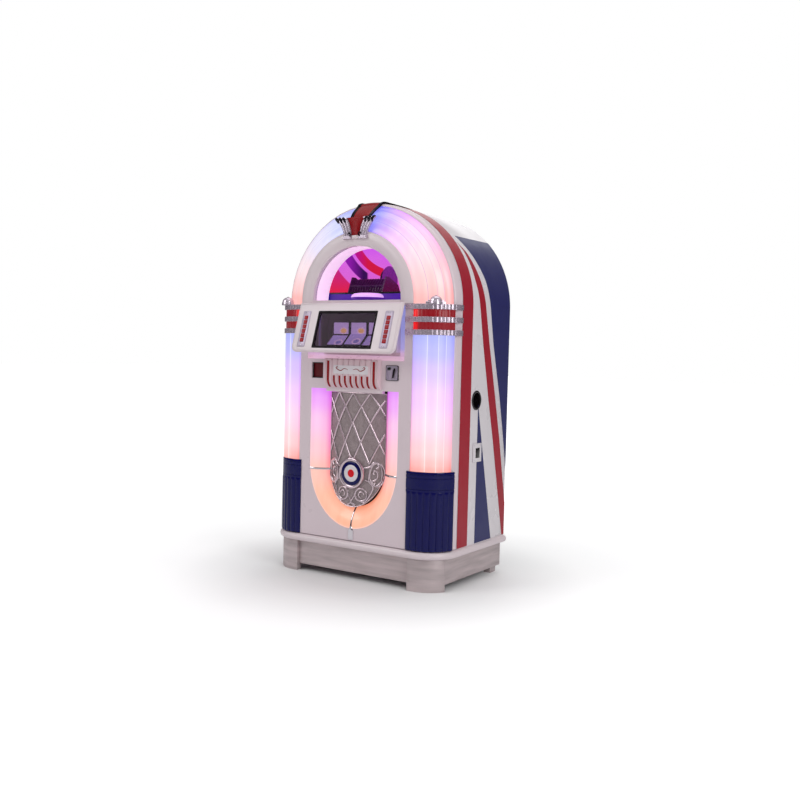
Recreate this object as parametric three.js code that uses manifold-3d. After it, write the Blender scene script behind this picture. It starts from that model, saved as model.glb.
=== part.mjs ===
// Arched floor-standing jukebox with a full-height door that swings on its left edge.
// Millimetres, +Z up. The front faces -Y and the origin is under the middle of the base.
// Inside the model the front plane of the door is y = 0; the last lines move it to the centre.

import * as THREE from 'three';
import { mergeVertices } from 'three/addons/utils/BufferGeometryUtils.js';
import Module from 'manifold-3d';

const wasm = await Module();
wasm.setup();

// Driving sizes of the cabinet
const halfWidth = 408;
const cabinetDepth = 534;
const archCentre = 1112;
const archDrop = 14;
const archFlatShare = 0.01;
const wall = 18;
const seat = 0.3;
const overrun = 4;
const weld = 1;
const doorDepth = 130;
const doorGap = 3;
const rearPanelInset = 6;
const rearPanelThickness = 12;

// Plinth, feet and base moulding
const plinthTop = 125;
const plinthLift = 28;
const plinthInset = 12;
const plinthThickness = 14;
const mouldingHeight = 30;
const mouldingReach = 16;
const mouldingSole = 60;
const rearCornerRadius = 12;
const footReach = 2;
const footWidth = 138;
const footThickness = 26;
const rearFootLength = 46;
const rearFootThickness = 30;

// Corner columns and the arch light
const columnRadius = 120;
const columnProud = 3.5;
const faceShare = 0.66176;
const trimFront = 84.6;
const trimLipInset = 12;
const trimShoulder = 28;
const lensThickness = 5;
const lobeDip = 3.5;
const lobeLift = 4;
const lobeShare = [0, 0.36, 0.78, 1];
const archBulge = 15;
const columnTop = 978.7;
const bootTop = 461;
const bootCollar = 76;
const bootProud = 4.5;
const bootFluteDepth = 3;
const bootFlutes = 8;
const bootEnd = 96;
const bootLap = 13;
const bootThickness = 7;
const collarStep = 1.5;
const collarGroove = 1.6;
const collarGrooveHeight = 3;
const collarGroovesShare = [0.1, 0.66, 0.84];

// Chrome bands and red bands round each column
const bandHeight = 20.5;
const redHeight = 28;
const bandProud = 8;
const bandThickness = 13;
const bandArmGap = 3;
const bandFluteDepth = 1.5;
const bandFlutes = 9;
const armProud = 7;
const redProud = 1.5;
const redRelief = 1.5;
const bandPost = 3;
const bandSkin = 4;
const finialRadius = 24;
const finialHeight = 34;
const finialStep = 9;
const finialStepThickness = 14;
const finialShare = 0.52;

// Door frame
const frameThickness = 18;
const frameWall = 16;
const frameRear = 12;
const doorFoot = 3;
const ringWidth = 58;
const linerThickness = 5.7;
const linerDepth = 98;
const glassPlace = 14;
const glassThickness = 4;

// Console hood with the title display
const hoodInset = 21;
const hoodTaperShare = 0.66;
const hoodTop = 1100;
const hoodTopReach = 39;
const hoodBottom = 903;
const hoodBottomReach = 100;
const hoodCorner = 25;
const hoodWall = 6;
const hoodRearInset = 63;
const hoodRearDepth = 62;
const recessInset = 14;
const recessBottom = 882;
const recessTop = 1092;
const recessDepth = 46;
const recessWall = 6;
const displayShare = 0.5743;
const displayLow = 18.8;
const displayHigh = 172.7;
const displayBorder = 9;
const displayPane = 3;
const cardWidthShare = 0.5315;
const cardHeight = 52;
const cardPitchShare = 0.6014;
const cardColumns = 3;
const cardThickness = 2;
const cardPlace = 26;
const cardHinge = 976;
const cardLowerReach = 46;
const cardLowerDrop = 42;
const pagePin = 1.6;
const pageJournal = 0.9;
const pageLug = 3;

// Keys
const keysPerPlate = 6;
const keyPlateInset = 51;
const keyPlateWidth = 38;
const keyPlateLow = 22;
const keyPlateHigh = 172;
const keyPlateThickness = 2;
const keyWidth = 17;
const keyHeight = 14;
const keyPitch = 18.6;
const keyProud = 3;
const keyClear = 0.4;
const keyFlange = 1;
const keyFlangeThickness = 3;
const keySlot = 22;
const keySkin = 3;

// Selector panel and coin parts
const selectorShare = 0.6103;
const selectorBottom = 764;
const selectorTop = 881;
const selectorReach = 24;
const selectorRound = 36;
const selectorRibPitch = 23;
const selectorGroove = 2.5;
const selectorGrooveWidth = 4;
const nameShare = 0.6462;
const nameLow = 821;
const nameHigh = 855;
const nameProud = 1.6;
const returnWidth = 58;
const returnLow = 800;
const returnHigh = 863;
const cupDepth = 84;
const cupWall = 3;
const flapThickness = 3;
const flapSet = 8;
const flapPin = 2;
const bezelWidth = 56;
const bezelInset = 3;
const bezelLow = 802;
const bezelHigh = 860;
const bezelThickness = 20;
const bezelProud = 4;
const bezelRim = 5;
const coinSlotWidth = 3.6;
const coinSlotHeight = 38;
const coinSlotTilt = 0.16;
const coinPadShares = [0.6, 0.55];
const rejectRadius = 6;
const rejectInset = 13;
const rejectProud = 5;

// Lower front light and grille
const lightInset = 57;
const lightTop = 759;
const lightCentre = 464;
const lightDrop = 258;
const grilleShare = 0.6385;
const grilleDrop = 171;
const grilleTop = 749;
const grilleRecess = 38.3;
const coveThickness = 4.5;
const grilleRadius = 257;
const meshThickness = 3;
const grilleRim = 3;
const latticeProud = 5.5;
const latticeBar = 5;
const latticePitchShare = 0.5515;
const latticeRowShare = [0, 0.195, 0.43, 0.71, 1];
const latticeFoot = 470;
const medallionShare = 0.4485;
const medallionHeight = 428;
const medallionProud = 10;
const medallionFaceShare = 0.7705;
const medallionPeak = 9;
const scrollWidth = 11;
const loopPlaceShare = 0.787;
const loopWidthShare = 0.206;
const loopHeightShare = 0.3456;
const curlPlaceShare = 0.3162;
const curlDropShare = 0.603;
const curlShare = 0.1912;
const ringWidthShare = 0.7;
const tailWidthShare = 0.8;
const ribbonEndShare = 0.6;
const tailReachShares = [1.2, 1.6];
const strapHeight = 431;
const strapWidth = 8;
const strapThickness = 3;
const strapLift = 0.9;
const stripWidth = 9;
const tabWidth = 25;
const tabTop = 211;
const tabBottom = 162;

// Crown over the arch
const crownFootHalf = 22;
const crownFootOuter = 54;
const crownTopInner = 42;
const crownTopOuter = 92;
const crownBottom = 1350;
const crownTop = 1433;
const crownReach = 16;
const crownPedestal = 12;
const crownShare = 0.22;
const pylonFlutes = 3;
const pylonFluteDepth = 3;
const saddleInnerLift = 0.6;
const saddleOuterLift = 8;
const saddleHalf = 44;
const railWidth = 14;
const railLift = 12;

// Cabinet side parts
const lockPlace = 262;
const lockHeight = 729;
const lockRadius = 35;
const lockWall = 4;
const lockDepth = 16;
const lockLip = 2.5;
const lockCoreRadius = 11;
const lockCoreLength = 12;
const tagFront = 240;
const tagRear = 307;
const tagBottom = 484;
const tagTop = 558;
const tagThickness = 5;

// Hinges at the left edge
const hingeOffset = 10.5;
const hingeRadius = 4.6;
const hingePin = 2;
const hingePinClear = 0.3;
const hingeLength = 476;
const hingeLeaf = 1.6;
const hingeLeafReach = 26;
const hingeLow = 484;
const hingeKnuckles = 7;

// Deck, disc rack and player
const deckTop = 1150;
const deckThickness = 12;
const deckRearRoom = 86;
const deckEase = 1.5;
const deckLipOver = 16;
const deckLipFront = 104;
const skirtThickness = 4;
const skirtBottom = 1085;
const trayRadius = 70;
const trayPlace = -10;
const trayTop = 1127;
const trayThickness = 6;
const discShare = 0.1905;
const discThickness = 1.6;
const discHole = 7.5;
const rackDiscs = 12;
const rackPitch = 12.9;
const rackCentreX = -55;
const rackDepthShare = 0.2286;
const rackLiftShare = 0.04;
const rackPlate = 5;
const rackRod = 4;
const rackGap = 2;
const rackFootShare = 1.15;
const rackShoulderShare = 0.7;
const rackShoulderRiseShare = 0.6;
const rackPeakShares = [-0.3, -0.6];
const rackRodTurnShares = [0.15, 0.85];
const railDepthShare = 0.5937;
const railSpreadShare = 0.1016;
const railRadius = 4;
const railBore = 4.3;
const railHeight = 1142;
const railHalf = 178;
const railBlock = 14;
const railWellShare = 0.146;
const carriageX = -46;
const carriageWidth = 56;
const carriageHeight = 16;
const carriagePlate = 6;
const carriageHeadShare = 0.8;
const carriageDiscLift = 4;
const spindleRadius = 3;
const spindleClear = 0.3;
const hubRadius = 17;
const hubThickness = 4;
const domeShare = 0.9;
const domeDepthShare = 0.9714;
const domeHeight = 296;
const domeThickness = 3;
const domeFront = 140;

// Inner units on the cabinet floor and behind the grille
const floorThickness = 20;
const amplifierSide = 88;
const amplifierWidth = 250;
const amplifierRear = 34;
const amplifierDepth = 170;
const amplifierHeight = 110;
const amplifierFins = 8;
const finThickness = 4;
const finHeight = 22;
const cashSide = 108;
const cashWidth = 190;
const cashFront = 77;
const cashDepth = 190;
const cashHeight = 150;
const cashGroove = 2;
const cashLid = 10;
const cashGrip = 12;
const baffleInset = 38;
const baffleLow = 196;
const baffleHigh = 776;
const bafflePlace = 44;
const baffleThickness = 14;
const speakerRadius = 112;
const speakerHeight = 480;
const speakerDepth = 62;
const magnetRadius = 52;
const magnetDepth = 26;
const baffleStud = 12;

// Facet counts
const archSteps = 24;
const archHalf = archSteps / 2;
const lobeSteps = 4;
const roundSteps = 16;
const fineRound = 24;
const scrollSteps = 9;
const shoulderSteps = 4;
const bowSteps = 36;
const pinSides = 10;
const barSides = 12;
const domeSides = 28;
const domeRows = 16;
const uSteps = 24;
const pylonSteps = 6;
const noseSteps = 4;

// Places worked out from the driving sizes
const frameEdge = halfWidth * faceShare;
const lightInner = frameEdge + seat;
const trimSole = halfWidth - wall;
const trimLip = halfWidth - trimLipInset;
const bootStart = frameEdge - bootLap;
const windowRadius = frameEdge - ringWidth;
const hoodHalf = frameEdge - hoodInset;
const hoodRearHalf = hoodHalf - hoodRearInset;
const recessHalf = hoodHalf - recessInset;
const bandArm = recessHalf + bandArmGap;
const displayHalf = hoodHalf * displayShare;
const cardWidth = displayHalf * cardWidthShare;
const cardPitch = displayHalf * cardPitchShare;
const keyPlateX = hoodHalf - keyPlateInset;
const lightHalf = frameEdge - lightInset;
const selectorHalf = lightHalf * selectorShare;
const nameHalf = selectorHalf * nameShare;
const returnLeft = -lightHalf;
const returnRight = returnLeft + returnWidth;
const bezelRight = lightHalf - bezelInset;
const bezelLeft = bezelRight - bezelWidth;
const grilleHalf = lightHalf * grilleShare;
const latticePitch = grilleHalf * latticePitchShare;
const medallionRadius = grilleHalf * medallionShare;
const medallionFace = medallionRadius * medallionFaceShare;
const baffleHalf = frameEdge - baffleInset;
const deckRear = cabinetDepth - deckRearRoom;
const deckLipHalf = windowRadius + deckLipOver;
const cabinetBase = plinthTop + mouldingHeight;
const doorBottom = cabinetBase + doorFoot;
const cabinetFront = doorDepth + doorGap;
const shellBottom = cabinetBase + seat;
const innerHalf = halfWidth - wall;
const floorTop = shellBottom + floorThickness;
const columnCentreX = halfWidth - columnRadius + columnProud;
const columnCentreY = columnRadius - columnProud;
const bandBottoms = [0, 1, 2].map((step) => columnTop + seat + step * (bandHeight + redHeight));
const redBottoms = [0, 1].map((step) => bandBottoms[step] + bandHeight);
const bandTop = bandBottoms[2] + bandHeight;
const hoodRise = hoodTop - hoodBottom;
const hoodSlope = hoodBottomReach - hoodTopReach;
const faceAngle = Math.atan2(hoodRise, hoodSlope);
const faceLength = Math.hypot(hoodRise, hoodSlope);
const mechanismDepth = deckRear - cabinetFront;
const discRadius = mechanismDepth * discShare;
const rackCentreY = cabinetFront + mechanismDepth * rackDepthShare;
const rackCentreZ = deckTop + discRadius * rackLiftShare;
const railPlace = cabinetFront + mechanismDepth * railDepthShare;
const railSpread = mechanismDepth * railSpreadShare;
const railWell = mechanismDepth * railWellShare;
const carriageDiscHeight = deckTop + discRadius + carriageDiscLift;
const domeHalf = halfWidth * domeShare;
const domeDepth = mechanismDepth * domeDepthShare;

// The outer arch is centred lower than the window and a little flatter
const outerShare = (radius) => THREE.MathUtils.clamp((radius - lightInner) / (trimLip - lightInner), 0, 1);
const centreAt = (radius) => archCentre - archDrop * outerShare(radius);
const riseAt = (radius) => radius * (1 - archFlatShare * outerShare(radius));
const archHeight = (radius, angle) => centreAt(radius) + riseAt(radius) * Math.sin(angle);
const deckTurn = Math.asin((deckTop - centreAt(innerHalf)) / riseAt(innerHalf));
const deckHalf = innerHalf * Math.cos(deckTurn) - deckEase;
const rearPanelFront = cabinetDepth - rearPanelInset - rearPanelThickness;
const pageY = cardPlace - 2 * pagePin;
const pageZ = cardHinge + pagePin;

const X = new THREE.Vector3(1, 0, 0);
const Y = new THREE.Vector3(0, 1, 0);
const Z = new THREE.Vector3(0, 0, 1);
const vec2 = (x, y) => new THREE.Vector2(x, y);
const vec3 = (x, y, z) => new THREE.Vector3(x, y, z);

// Materials
const finish = (color, roughness, metalness) => new THREE.MeshStandardMaterial({ color, roughness,
  metalness });
const white = finish(0xe9e2e2, 0.25, 0);
const chrome = finish(0xd8d4d6, 0.12, 1);
const brushed = finish(0xb5aeae, 0.4, 0.9);
const navy = finish(0x14104a, 0.2, 0);
const red = finish(0xa01020, 0.25, 0);
const glow = finish(0xf6d2e6, 0.35, 0);
const warmGlow = finish(0xffb49a, 0.35, 0);
const black = finish(0x17141a, 0.4, 0);
const glass = finish(0xdfe6ea, 0.05, 0);
const steel = finish(0x9a9a9e, 0.35, 0.9);
const silver = finish(0xc9c6cc, 0.3, 0.6);
const purple = finish(0x5a2a8a, 0.5, 0);
const card = finish(0xbfb8c6, 0.5, 0);
const disc = finish(0x8d8794, 0.15, 0.9);
const cloth = finish(0x6f6a6c, 0.5, 0.7);

// Solid tools
function toSolid(geometry) {
  const plain = geometry.clone();
  plain.deleteAttribute('normal');
  plain.deleteAttribute('uv');
  const merged = mergeVertices(plain);
  return new wasm.Manifold(new wasm.Mesh({
    numProp: 3,
    vertProperties: Float32Array.from(merged.attributes.position.array),
    triVerts: Uint32Array.from(merged.index.array),
  }));
}

function toGeometry(solid) {
  const mesh = solid.getMesh();
  const geometry = new THREE.BufferGeometry();
  geometry.setAttribute('position', new THREE.BufferAttribute(mesh.vertProperties, 3));
  geometry.setIndex(new THREE.BufferAttribute(mesh.triVerts, 1));
  geometry.computeVertexNormals();
  return geometry;
}

const asSolid = (piece) => (piece.isBufferGeometry ? toSolid(piece) : piece);
const join = (first, ...others) => others.reduce((sum, next) => sum.add(asSolid(next)), asSolid(first));
const cut = (first, ...others) => others.reduce((sum, next) => sum.subtract(asSolid(next)), asSolid(first));
const common = (first, second) => asSolid(first).intersect(asSolid(second));

// A block between two limits on each axis
function block(left, right, near, far, low, high) {
  const box = new THREE.BoxGeometry(right - left, far - near, high - low);
  return box.translate((left + right) / 2, (near + far) / 2, (low + high) / 2);
}

// A front view outline (x, z) extruded along Y
function fromFront(shape, near, far, curveSegments = roundSteps) {
  const body = new THREE.ExtrudeGeometry(shape, { depth: far - near, bevelEnabled: false, curveSegments });
  body.applyMatrix4(new THREE.Matrix4().makeBasis(X, Z, Y.clone().negate()));
  return body.translate(0, far, 0);
}

// A plan outline (x, y) extruded along Z
function fromAbove(shape, low, high, curveSegments = roundSteps) {
  const body = new THREE.ExtrudeGeometry(shape, { depth: high - low, bevelEnabled: false, curveSegments });
  return body.translate(0, 0, low);
}

// A side view outline (y, z) extruded along X
function fromSide(shape, left, right, curveSegments = roundSteps) {
  const body = new THREE.ExtrudeGeometry(shape, { depth: right - left, bevelEnabled: false,
    curveSegments });
  body.applyMatrix4(new THREE.Matrix4().makeBasis(Y, Z, X));
  return body.translate(left, 0, 0);
}

// Round bars along each axis
function barX(radius, left, right, y, z, sides = roundSteps) {
  const bar = new THREE.CylinderGeometry(radius, radius, right - left, sides).rotateZ(Math.PI / 2);
  return bar.translate((left + right) / 2, y, z);
}
function barY(radius, near, far, x, z, sides = roundSteps) {
  return new THREE.CylinderGeometry(radius, radius, far - near, sides).translate(x, (near + far) / 2, z);
}
function barZ(radius, low, high, x, y, sides = roundSteps) {
  const bar = new THREE.CylinderGeometry(radius, radius, high - low, sides).rotateX(Math.PI / 2);
  return bar.translate(x, y, (low + high) / 2);
}

// A closed section carried through a row of stations; the two ends are capped
function sweep(outline, count, place) {
  const size = outline.length;
  const points = [];
  const faces = [];
  for (let k = 0; k < count; k += 1) {
    for (const point of outline) points.push(...place(point, k).toArray());
  }
  for (let k = 0; k < count - 1; k += 1) {
    for (let i = 0; i < size; i += 1) {
      const a = k * size + i;
      const b = k * size + ((i + 1) % size);
      faces.push(a, b, b + size, a, b + size, a + size);
    }
  }
  const last = (count - 1) * size;
  for (const [a, b, c] of THREE.ShapeUtils.triangulateShape(outline, [])) {
    faces.push(a, c, b, last + a, last + b, last + c);
  }
  const body = new THREE.BufferGeometry();
  body.setAttribute('position', new THREE.Float32BufferAttribute(points, 3));
  body.setIndex(faces);
  return facesOut(body);
}

// The signed volume tells which way the faces look
function facesOut(body) {
  const place = body.attributes.position;
  const index = body.index.array;
  const corner = (k) => new THREE.Vector3().fromBufferAttribute(place, index[k]);
  let volume = 0;
  for (let k = 0; k < index.length; k += 3) volume += corner(k).dot(corner(k + 1).cross(corner(k + 2)));
  if (volume < 0) {
    for (let k = 0; k < index.length; k += 3) [index[k], index[k + 1]] = [index[k + 1], index[k]];
  }
  body.computeVertexNormals();
  return body;
}

const mirrored = (piece) => {
  const solid = asSolid(piece);
  return solid.mirror([1, 0, 0]);
};

// Outlines
function polygon(points) {
  return new THREE.Shape(points.map(([x, y]) => vec2(x, y)));
}

function rectangle(left, right, low, high) {
  return polygon([[left, low], [right, low], [right, high], [left, high]]);
}

// A door-shaped outline: straight legs and a half round head
function archOutline(half, bottom) {
  const shape = new THREE.Shape();
  shape.moveTo(half, bottom);
  shape.lineTo(half, centreAt(half));
  shape.absellipse(0, centreAt(half), half, riseAt(half), 0, Math.PI, false, 0);
  shape.lineTo(-half, bottom);
  return shape;
}

// A U outline: straight legs and a half ellipse below
function uOutline(half, top, drop) {
  const shape = new THREE.Shape();
  shape.moveTo(half, top);
  shape.lineTo(-half, top);
  shape.lineTo(-half, lightCentre);
  shape.absellipse(0, lightCentre, half, drop, Math.PI, 2 * Math.PI, false, 0);
  shape.lineTo(half, top);
  return shape;
}

// The cabinet's plan, rounded at the front corners and moved out by a reach
function footprint(reach, rear = cabinetDepth) {
  const radius = columnRadius + reach;
  const x = halfWidth - columnRadius;
  const back = rearCornerRadius;
  const shape = new THREE.Shape();
  shape.absarc(x, columnRadius, radius, -Math.PI / 2, 0, false);
  shape.absarc(halfWidth + reach - back, rear - back, back, 0, Math.PI / 2, false);
  shape.absarc(-halfWidth - reach + back, rear - back, back, Math.PI / 2, Math.PI, false);
  shape.absarc(-x, columnRadius, radius, Math.PI, 1.5 * Math.PI, false);
  return shape;
}

// Points of a lobed arc round the column centre, in plan (x, y)
function columnArc(radius, from, to, steps, relief = () => 0) {
  return Array.from({ length: steps + 1 }, (_, k) => {
    const share = k / steps;
    const angle = from + (to - from) * share;
    const r = radius + relief(share);
    return vec2(columnCentreX + r * Math.cos(angle), columnCentreY + r * Math.sin(angle));
  });
}

const startAngle = (x, radius = columnRadius) => -Math.acos((x - columnCentreX) / radius);
const endAngle = (y, radius = columnRadius) => Math.asin((y - columnCentreY) / radius);
const lensFrom = startAngle(lightInner);
const lensTo = endAngle(trimFront - seat);

// The lens surface swells in three lobes with a seam line between them
function lobes(dip, lift) {
  return (share) => {
    const lobe = share < lobeShare[1] ? 0 : share < lobeShare[2] ? 1 : 2;
    const local = (share - lobeShare[lobe]) / (lobeShare[lobe + 1] - lobeShare[lobe]);
    const rise = Math.sqrt(Math.max(0, Math.sin(Math.PI * local)));
    return (dip + (lobe === 1 ? lift : 0)) * rise - dip;
  };
}

function flutes(count, depth) {
  return (share) => -depth * Math.abs(Math.cos(Math.PI * count * share));
}

// Cabinet
function archBand(inner, outer, bottom) {
  const shape = archOutline(outer, bottom);
  shape.lineTo(-inner, bottom);
  shape.lineTo(-inner, centreAt(inner));
  shape.absellipse(0, centreAt(inner), inner, riseAt(inner), Math.PI, 0, true, 0);
  shape.lineTo(inner, bottom);
  return shape;
}

function cabinetShell() {
  const cleat = (side) => {
    const inner = side * (innerHalf - wall);
    const outer = side * (innerHalf + seat);
    const deckSeat = deckTop - deckThickness - seat;
    return block(Math.min(inner, outer), Math.max(inner, outer), cabinetFront + wall, deckRear,
      deckSeat - wall, deckSeat);
  };
  const walls = fromFront(archBand(innerHalf, halfWidth, shellBottom), cabinetFront, cabinetDepth,
    archHalf);
  const floor = block(-innerHalf - seat, innerHalf + seat, cabinetFront, cabinetDepth, shellBottom,
    floorTop);
  const lockHole = barX(lockRadius + seat, innerHalf - overrun, halfWidth + overrun, lockPlace, lockHeight,
    fineRound);
  return cut(join(walls, floor, cleat(1), cleat(-1)), lockHole);
}

// Rear panel with louvre slots and a mains inlet
function backPanel() {
  const slotCount = 6;
  const panel = fromFront(archOutline(innerHalf - seat, floorTop + seat), rearPanelFront,
    rearPanelFront + rearPanelThickness, archHalf);
  const slotHalf = wall * 4;
  const slotHeight = rearPanelThickness / 3;
  const slotPitch = wall;
  const slots = [];
  for (const base of [archCentre - halfWidth / 2, floorTop + halfWidth / 2]) {
    for (let k = 0; k < slotCount; k += 1) {
      const low = base + k * slotPitch;
      slots.push(block(-slotHalf, slotHalf, rearPanelFront - overrun, cabinetDepth, low, low + slotHeight));
    }
  }
  const inletHalf = wall * 1.5;
  const inletLow = floorTop + wall * 2;
  const inlet = block(-inletHalf, inletHalf, rearPanelFront, cabinetDepth - seat, inletLow,
    inletLow + inletHalf);
  const socket = block(-inletHalf + wall / 2, inletHalf - wall / 2, cabinetDepth - rearPanelInset,
    cabinetDepth + overrun, inletLow + wall / 3, inletLow + inletHalf - wall / 3);
  return cut(join(cut(panel, ...slots), inlet), socket);
}

// A bullnose moulding that follows the cabinet's plan
function baseMoulding() {
  const half = mouldingHeight / 2;
  const low = plinthTop + seat;
  const middle = low + (mouldingHeight - seat) / 2;
  const outline = [vec2(-mouldingSole, cabinetBase), vec2(-mouldingSole, low)];
  for (let k = 0; k <= noseSteps; k += 1) {
    const angle = -Math.PI / 2 + (Math.PI * k) / noseSteps;
    const height = middle + (half - seat / 2) * Math.sin(angle);
    outline.push(vec2(mouldingReach - half + half * Math.cos(angle), height));
  }
  const rings = outline.map(({ x: reach, y: height }) => footprint(reach, cabinetDepth + Math.min(reach, 0))
    .getPoints(roundSteps / 2 - 2).map((point) => vec3(point.x, point.y, height)));
  return ringBody(rings);
}

// Joins closed rings of points, each to the next and the last to the first
function ringBody(rings) {
  const size = rings[0].length;
  const points = rings.flat().flatMap((point) => point.toArray());
  const faces = [];
  for (let i = 0; i < rings.length; i += 1) {
    const next = ((i + 1) % rings.length) * size;
    for (let k = 0; k < size; k += 1) {
      const turn = (k + 1) % size;
      faces.push(i * size + k, i * size + turn, next + turn, i * size + k, next + turn, next + k);
    }
  }
  const body = new THREE.BufferGeometry();
  body.setAttribute('position', new THREE.Float32BufferAttribute(points, 3));
  body.setIndex(faces);
  return facesOut(body);
}

// Front corner feet: rounded posts that the moulding rests on
function frontFoot() {
  const outer = columnRadius + footReach;
  const inner = outer - footThickness;
  const left = halfWidth - footWidth;
  const back = footWidth / 2;
  const plan = polygon([[left, -footReach], ...footArc(outer, -Math.PI / 2, footEnd(back, outer)),
    ...footArc(inner, footEnd(back, inner), -Math.PI / 2), [left, footThickness - footReach]]);
  return fromAbove(plan, 0, plinthTop);
}

function footArc(radius, from, to) {
  return Array.from({ length: roundSteps / 2 + 1 }, (_, k) => {
    const angle = from + ((to - from) * k * 2) / roundSteps;
    return [halfWidth - columnRadius + radius * Math.cos(angle), columnRadius + radius * Math.sin(angle)];
  });
}

const footEnd = (y, radius) => Math.asin((y - columnRadius) / radius);

// Side and rear plinth panels in one piece, with the two rear feet inside its corners
function plinthSkirt() {
  const outer = halfWidth - plinthInset + footReach;
  const rear = cabinetDepth - plinthInset;
  const start = footWidth / 2 + seat;
  const side = block(outer - plinthThickness, outer, start, rear, plinthLift, plinthTop);
  const rearPanel = block(-outer + weld, outer - weld, rear - plinthThickness, rear, plinthLift, plinthTop);
  const inner = outer - plinthThickness + weld;
  const foot = block(inner - rearFootThickness, inner, rear - plinthThickness + weld - rearFootLength,
    rear - plinthThickness + weld, 0, plinthTop);
  return join(side, mirrored(side), rearPanel, foot, mirrored(foot));
}

// Brushed plinth panels between the feet
function plinthFront() {
  const half = halfWidth - footWidth - seat;
  return block(-half, half, plinthInset, plinthInset + plinthThickness, plinthLift, plinthTop);
}

// Lock in the right side
function lockCup() {
  const outer = lockRadius;
  const face = halfWidth + lockLip;
  const deep = halfWidth - wall - lockDepth;
  const profile = [
    [lockCoreRadius + seat, deep], [outer, deep], [outer, halfWidth + seat],
    [outer + lockWall, halfWidth + seat], [outer + lockWall, halfWidth + lockLip / 2], [outer, face],
    [outer - lockWall, face], [outer - 2 * lockWall, deep + lockWall], [lockCoreRadius + seat,
      deep + lockWall],
    [lockCoreRadius + seat, deep],
  ].map(([r, h]) => vec2(r, h));
  const body = new THREE.LatheGeometry(profile, fineRound).rotateZ(-Math.PI / 2);
  return facesOut(mergeVertices(stripped(body))).translate(0, lockPlace, lockHeight);
}

function stripped(geometry) {
  const plain = geometry.clone();
  plain.deleteAttribute('normal');
  plain.deleteAttribute('uv');
  return plain;
}

function lockCylinder() {
  const deep = halfWidth - wall - lockDepth;
  const core = barX(lockCoreRadius, deep - lockWall, deep + lockCoreLength, lockPlace, lockHeight);
  const keyway = block(deep + lockCoreLength - lockWall, deep + lockCoreLength + overrun,
    lockPlace - lockLip / 2,
    lockPlace + lockLip / 2, lockHeight - lockCoreRadius / 2, lockHeight + lockCoreRadius / 2);
  const cam = block(deep - 2 * lockWall, deep - lockWall + seat, lockPlace - lockCoreRadius / 2,
    lockPlace + lockCoreRadius / 2, lockHeight - lockCoreRadius / 2, lockHeight + lockRadius - lockWall);
  return join(cut(core, keyway), cam);
}

function sideTag() {
  const base = halfWidth + seat;
  const chamfer = tagThickness / 2;
  const plan = polygon([[base, tagFront], [base + tagThickness - chamfer, tagFront],
    [base + tagThickness, tagFront + chamfer], [base + tagThickness, tagRear - chamfer],
    [base + tagThickness - chamfer, tagRear], [base, tagRear]]);
  return fromAbove(plan, tagBottom, tagTop);
}

// Door frame: an arched face with light pockets round it
function pocketOutline() {
  const inner = frameEdge - overrun;
  const points = [vec2(inner - frameWall, frameThickness - overrun), vec2(inner, frameThickness - overrun)];
  points.push(vec2(inner, doorDepth - frameRear), vec2(trimSole, doorDepth - frameRear));
  points.push(vec2(trimSole, trimFront), vec2(trimLip, trimFront));
  for (let k = 1; k <= shoulderSteps; k += 1) {
    const angle = (Math.PI / 2) * (k / shoulderSteps);
    const out = (halfWidth - trimLip) * Math.sin(angle);
    points.push(vec2(trimLip + out, trimFront + trimShoulder * (1 - Math.cos(angle))));
  }
  points.push(vec2(halfWidth, doorDepth), vec2(inner - frameWall, doorDepth));
  return points;
}

// Carries a (radius, depth) section up one leg, over the arch and down the other
function archSweep(outline, bottom, steps = archSteps) {
  const count = steps + 3;
  return sweep(outline, count, (point, k) => {
    if (k === 0) return vec3(point.x, point.y, bottom);
    if (k === count - 1) return vec3(-point.x, point.y, bottom);
    const angle = (Math.PI * (k - 1)) / steps;
    return vec3(point.x * Math.cos(angle), point.y, archHeight(point.x, angle));
  });
}

function doorFrame() {
  const face = fromFront(archOutline(frameEdge, doorBottom), 0, frameThickness, archHalf);
  const pockets = archSweep(pocketOutline(), doorBottom);
  const inner = frameEdge - overrun;
  const foot = block(-inner, inner, frameThickness - overrun, doorDepth, doorBottom,
    doorBottom + frameRear);
  const tray = block(-recessHalf - recessWall, recessHalf + recessWall, frameThickness - overrun,
    recessDepth + recessWall, recessBottom - recessWall, recessTop + recessWall);
  const liner = fromFront(archOutline(windowRadius + linerThickness, archCentre - linerThickness), 0,
    linerDepth,
    archHalf);
  const recess = fromSide(polygon([[-overrun, recessBottom - recessWall], [frameThickness, recessBottom],
    [recessDepth, recessBottom + recessWall * 2], [recessDepth, recessTop], [-overrun, recessTop]]),
  -recessHalf, recessHalf);
  const through = block(-hoodRearHalf - seat, hoodRearHalf + seat, 0, cabinetFront,
    hoodBottom + hoodWall - seat,
    recessTop - hoodWall + seat);
  const windowHole = fromFront(archOutline(windowRadius, archCentre), -overrun, linerDepth + overrun,
    archHalf);
  const lightRoom = fromFront(uOutline(lightHalf + seat, lightTop + seat, lightDrop + seat), -overrun,
    frameThickness + overrun, archHalf);
  const lightHole = cut(lightRoom, block(-grilleHalf, grilleHalf, -overrun, doorDepth, grilleTop + seat,
    lightTop + weld));
  const returnHole = block(returnLeft - seat, returnRight + seat, -overrun, frameThickness + overrun,
    returnLow - seat, returnHigh + seat);
  const bezelHole = block(bezelLeft - seat, bezelRight + seat, -overrun, frameThickness + overrun,
    bezelLow - seat, bezelHigh + seat);
  const body = join(face, pockets, foot, tray, liner);
  return cut(body, recess, through, windowHole, lightHole, returnHole, bezelHole);
}

function windowGlass() {
  const edge = windowRadius - seat;
  const pane = new THREE.Shape();
  pane.moveTo(-edge, archCentre + seat);
  pane.absarc(0, archCentre + seat, edge - seat, Math.PI, 0, true);
  return fromFront(pane, glassPlace, glassPlace + glassThickness, archHalf);
}

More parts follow.
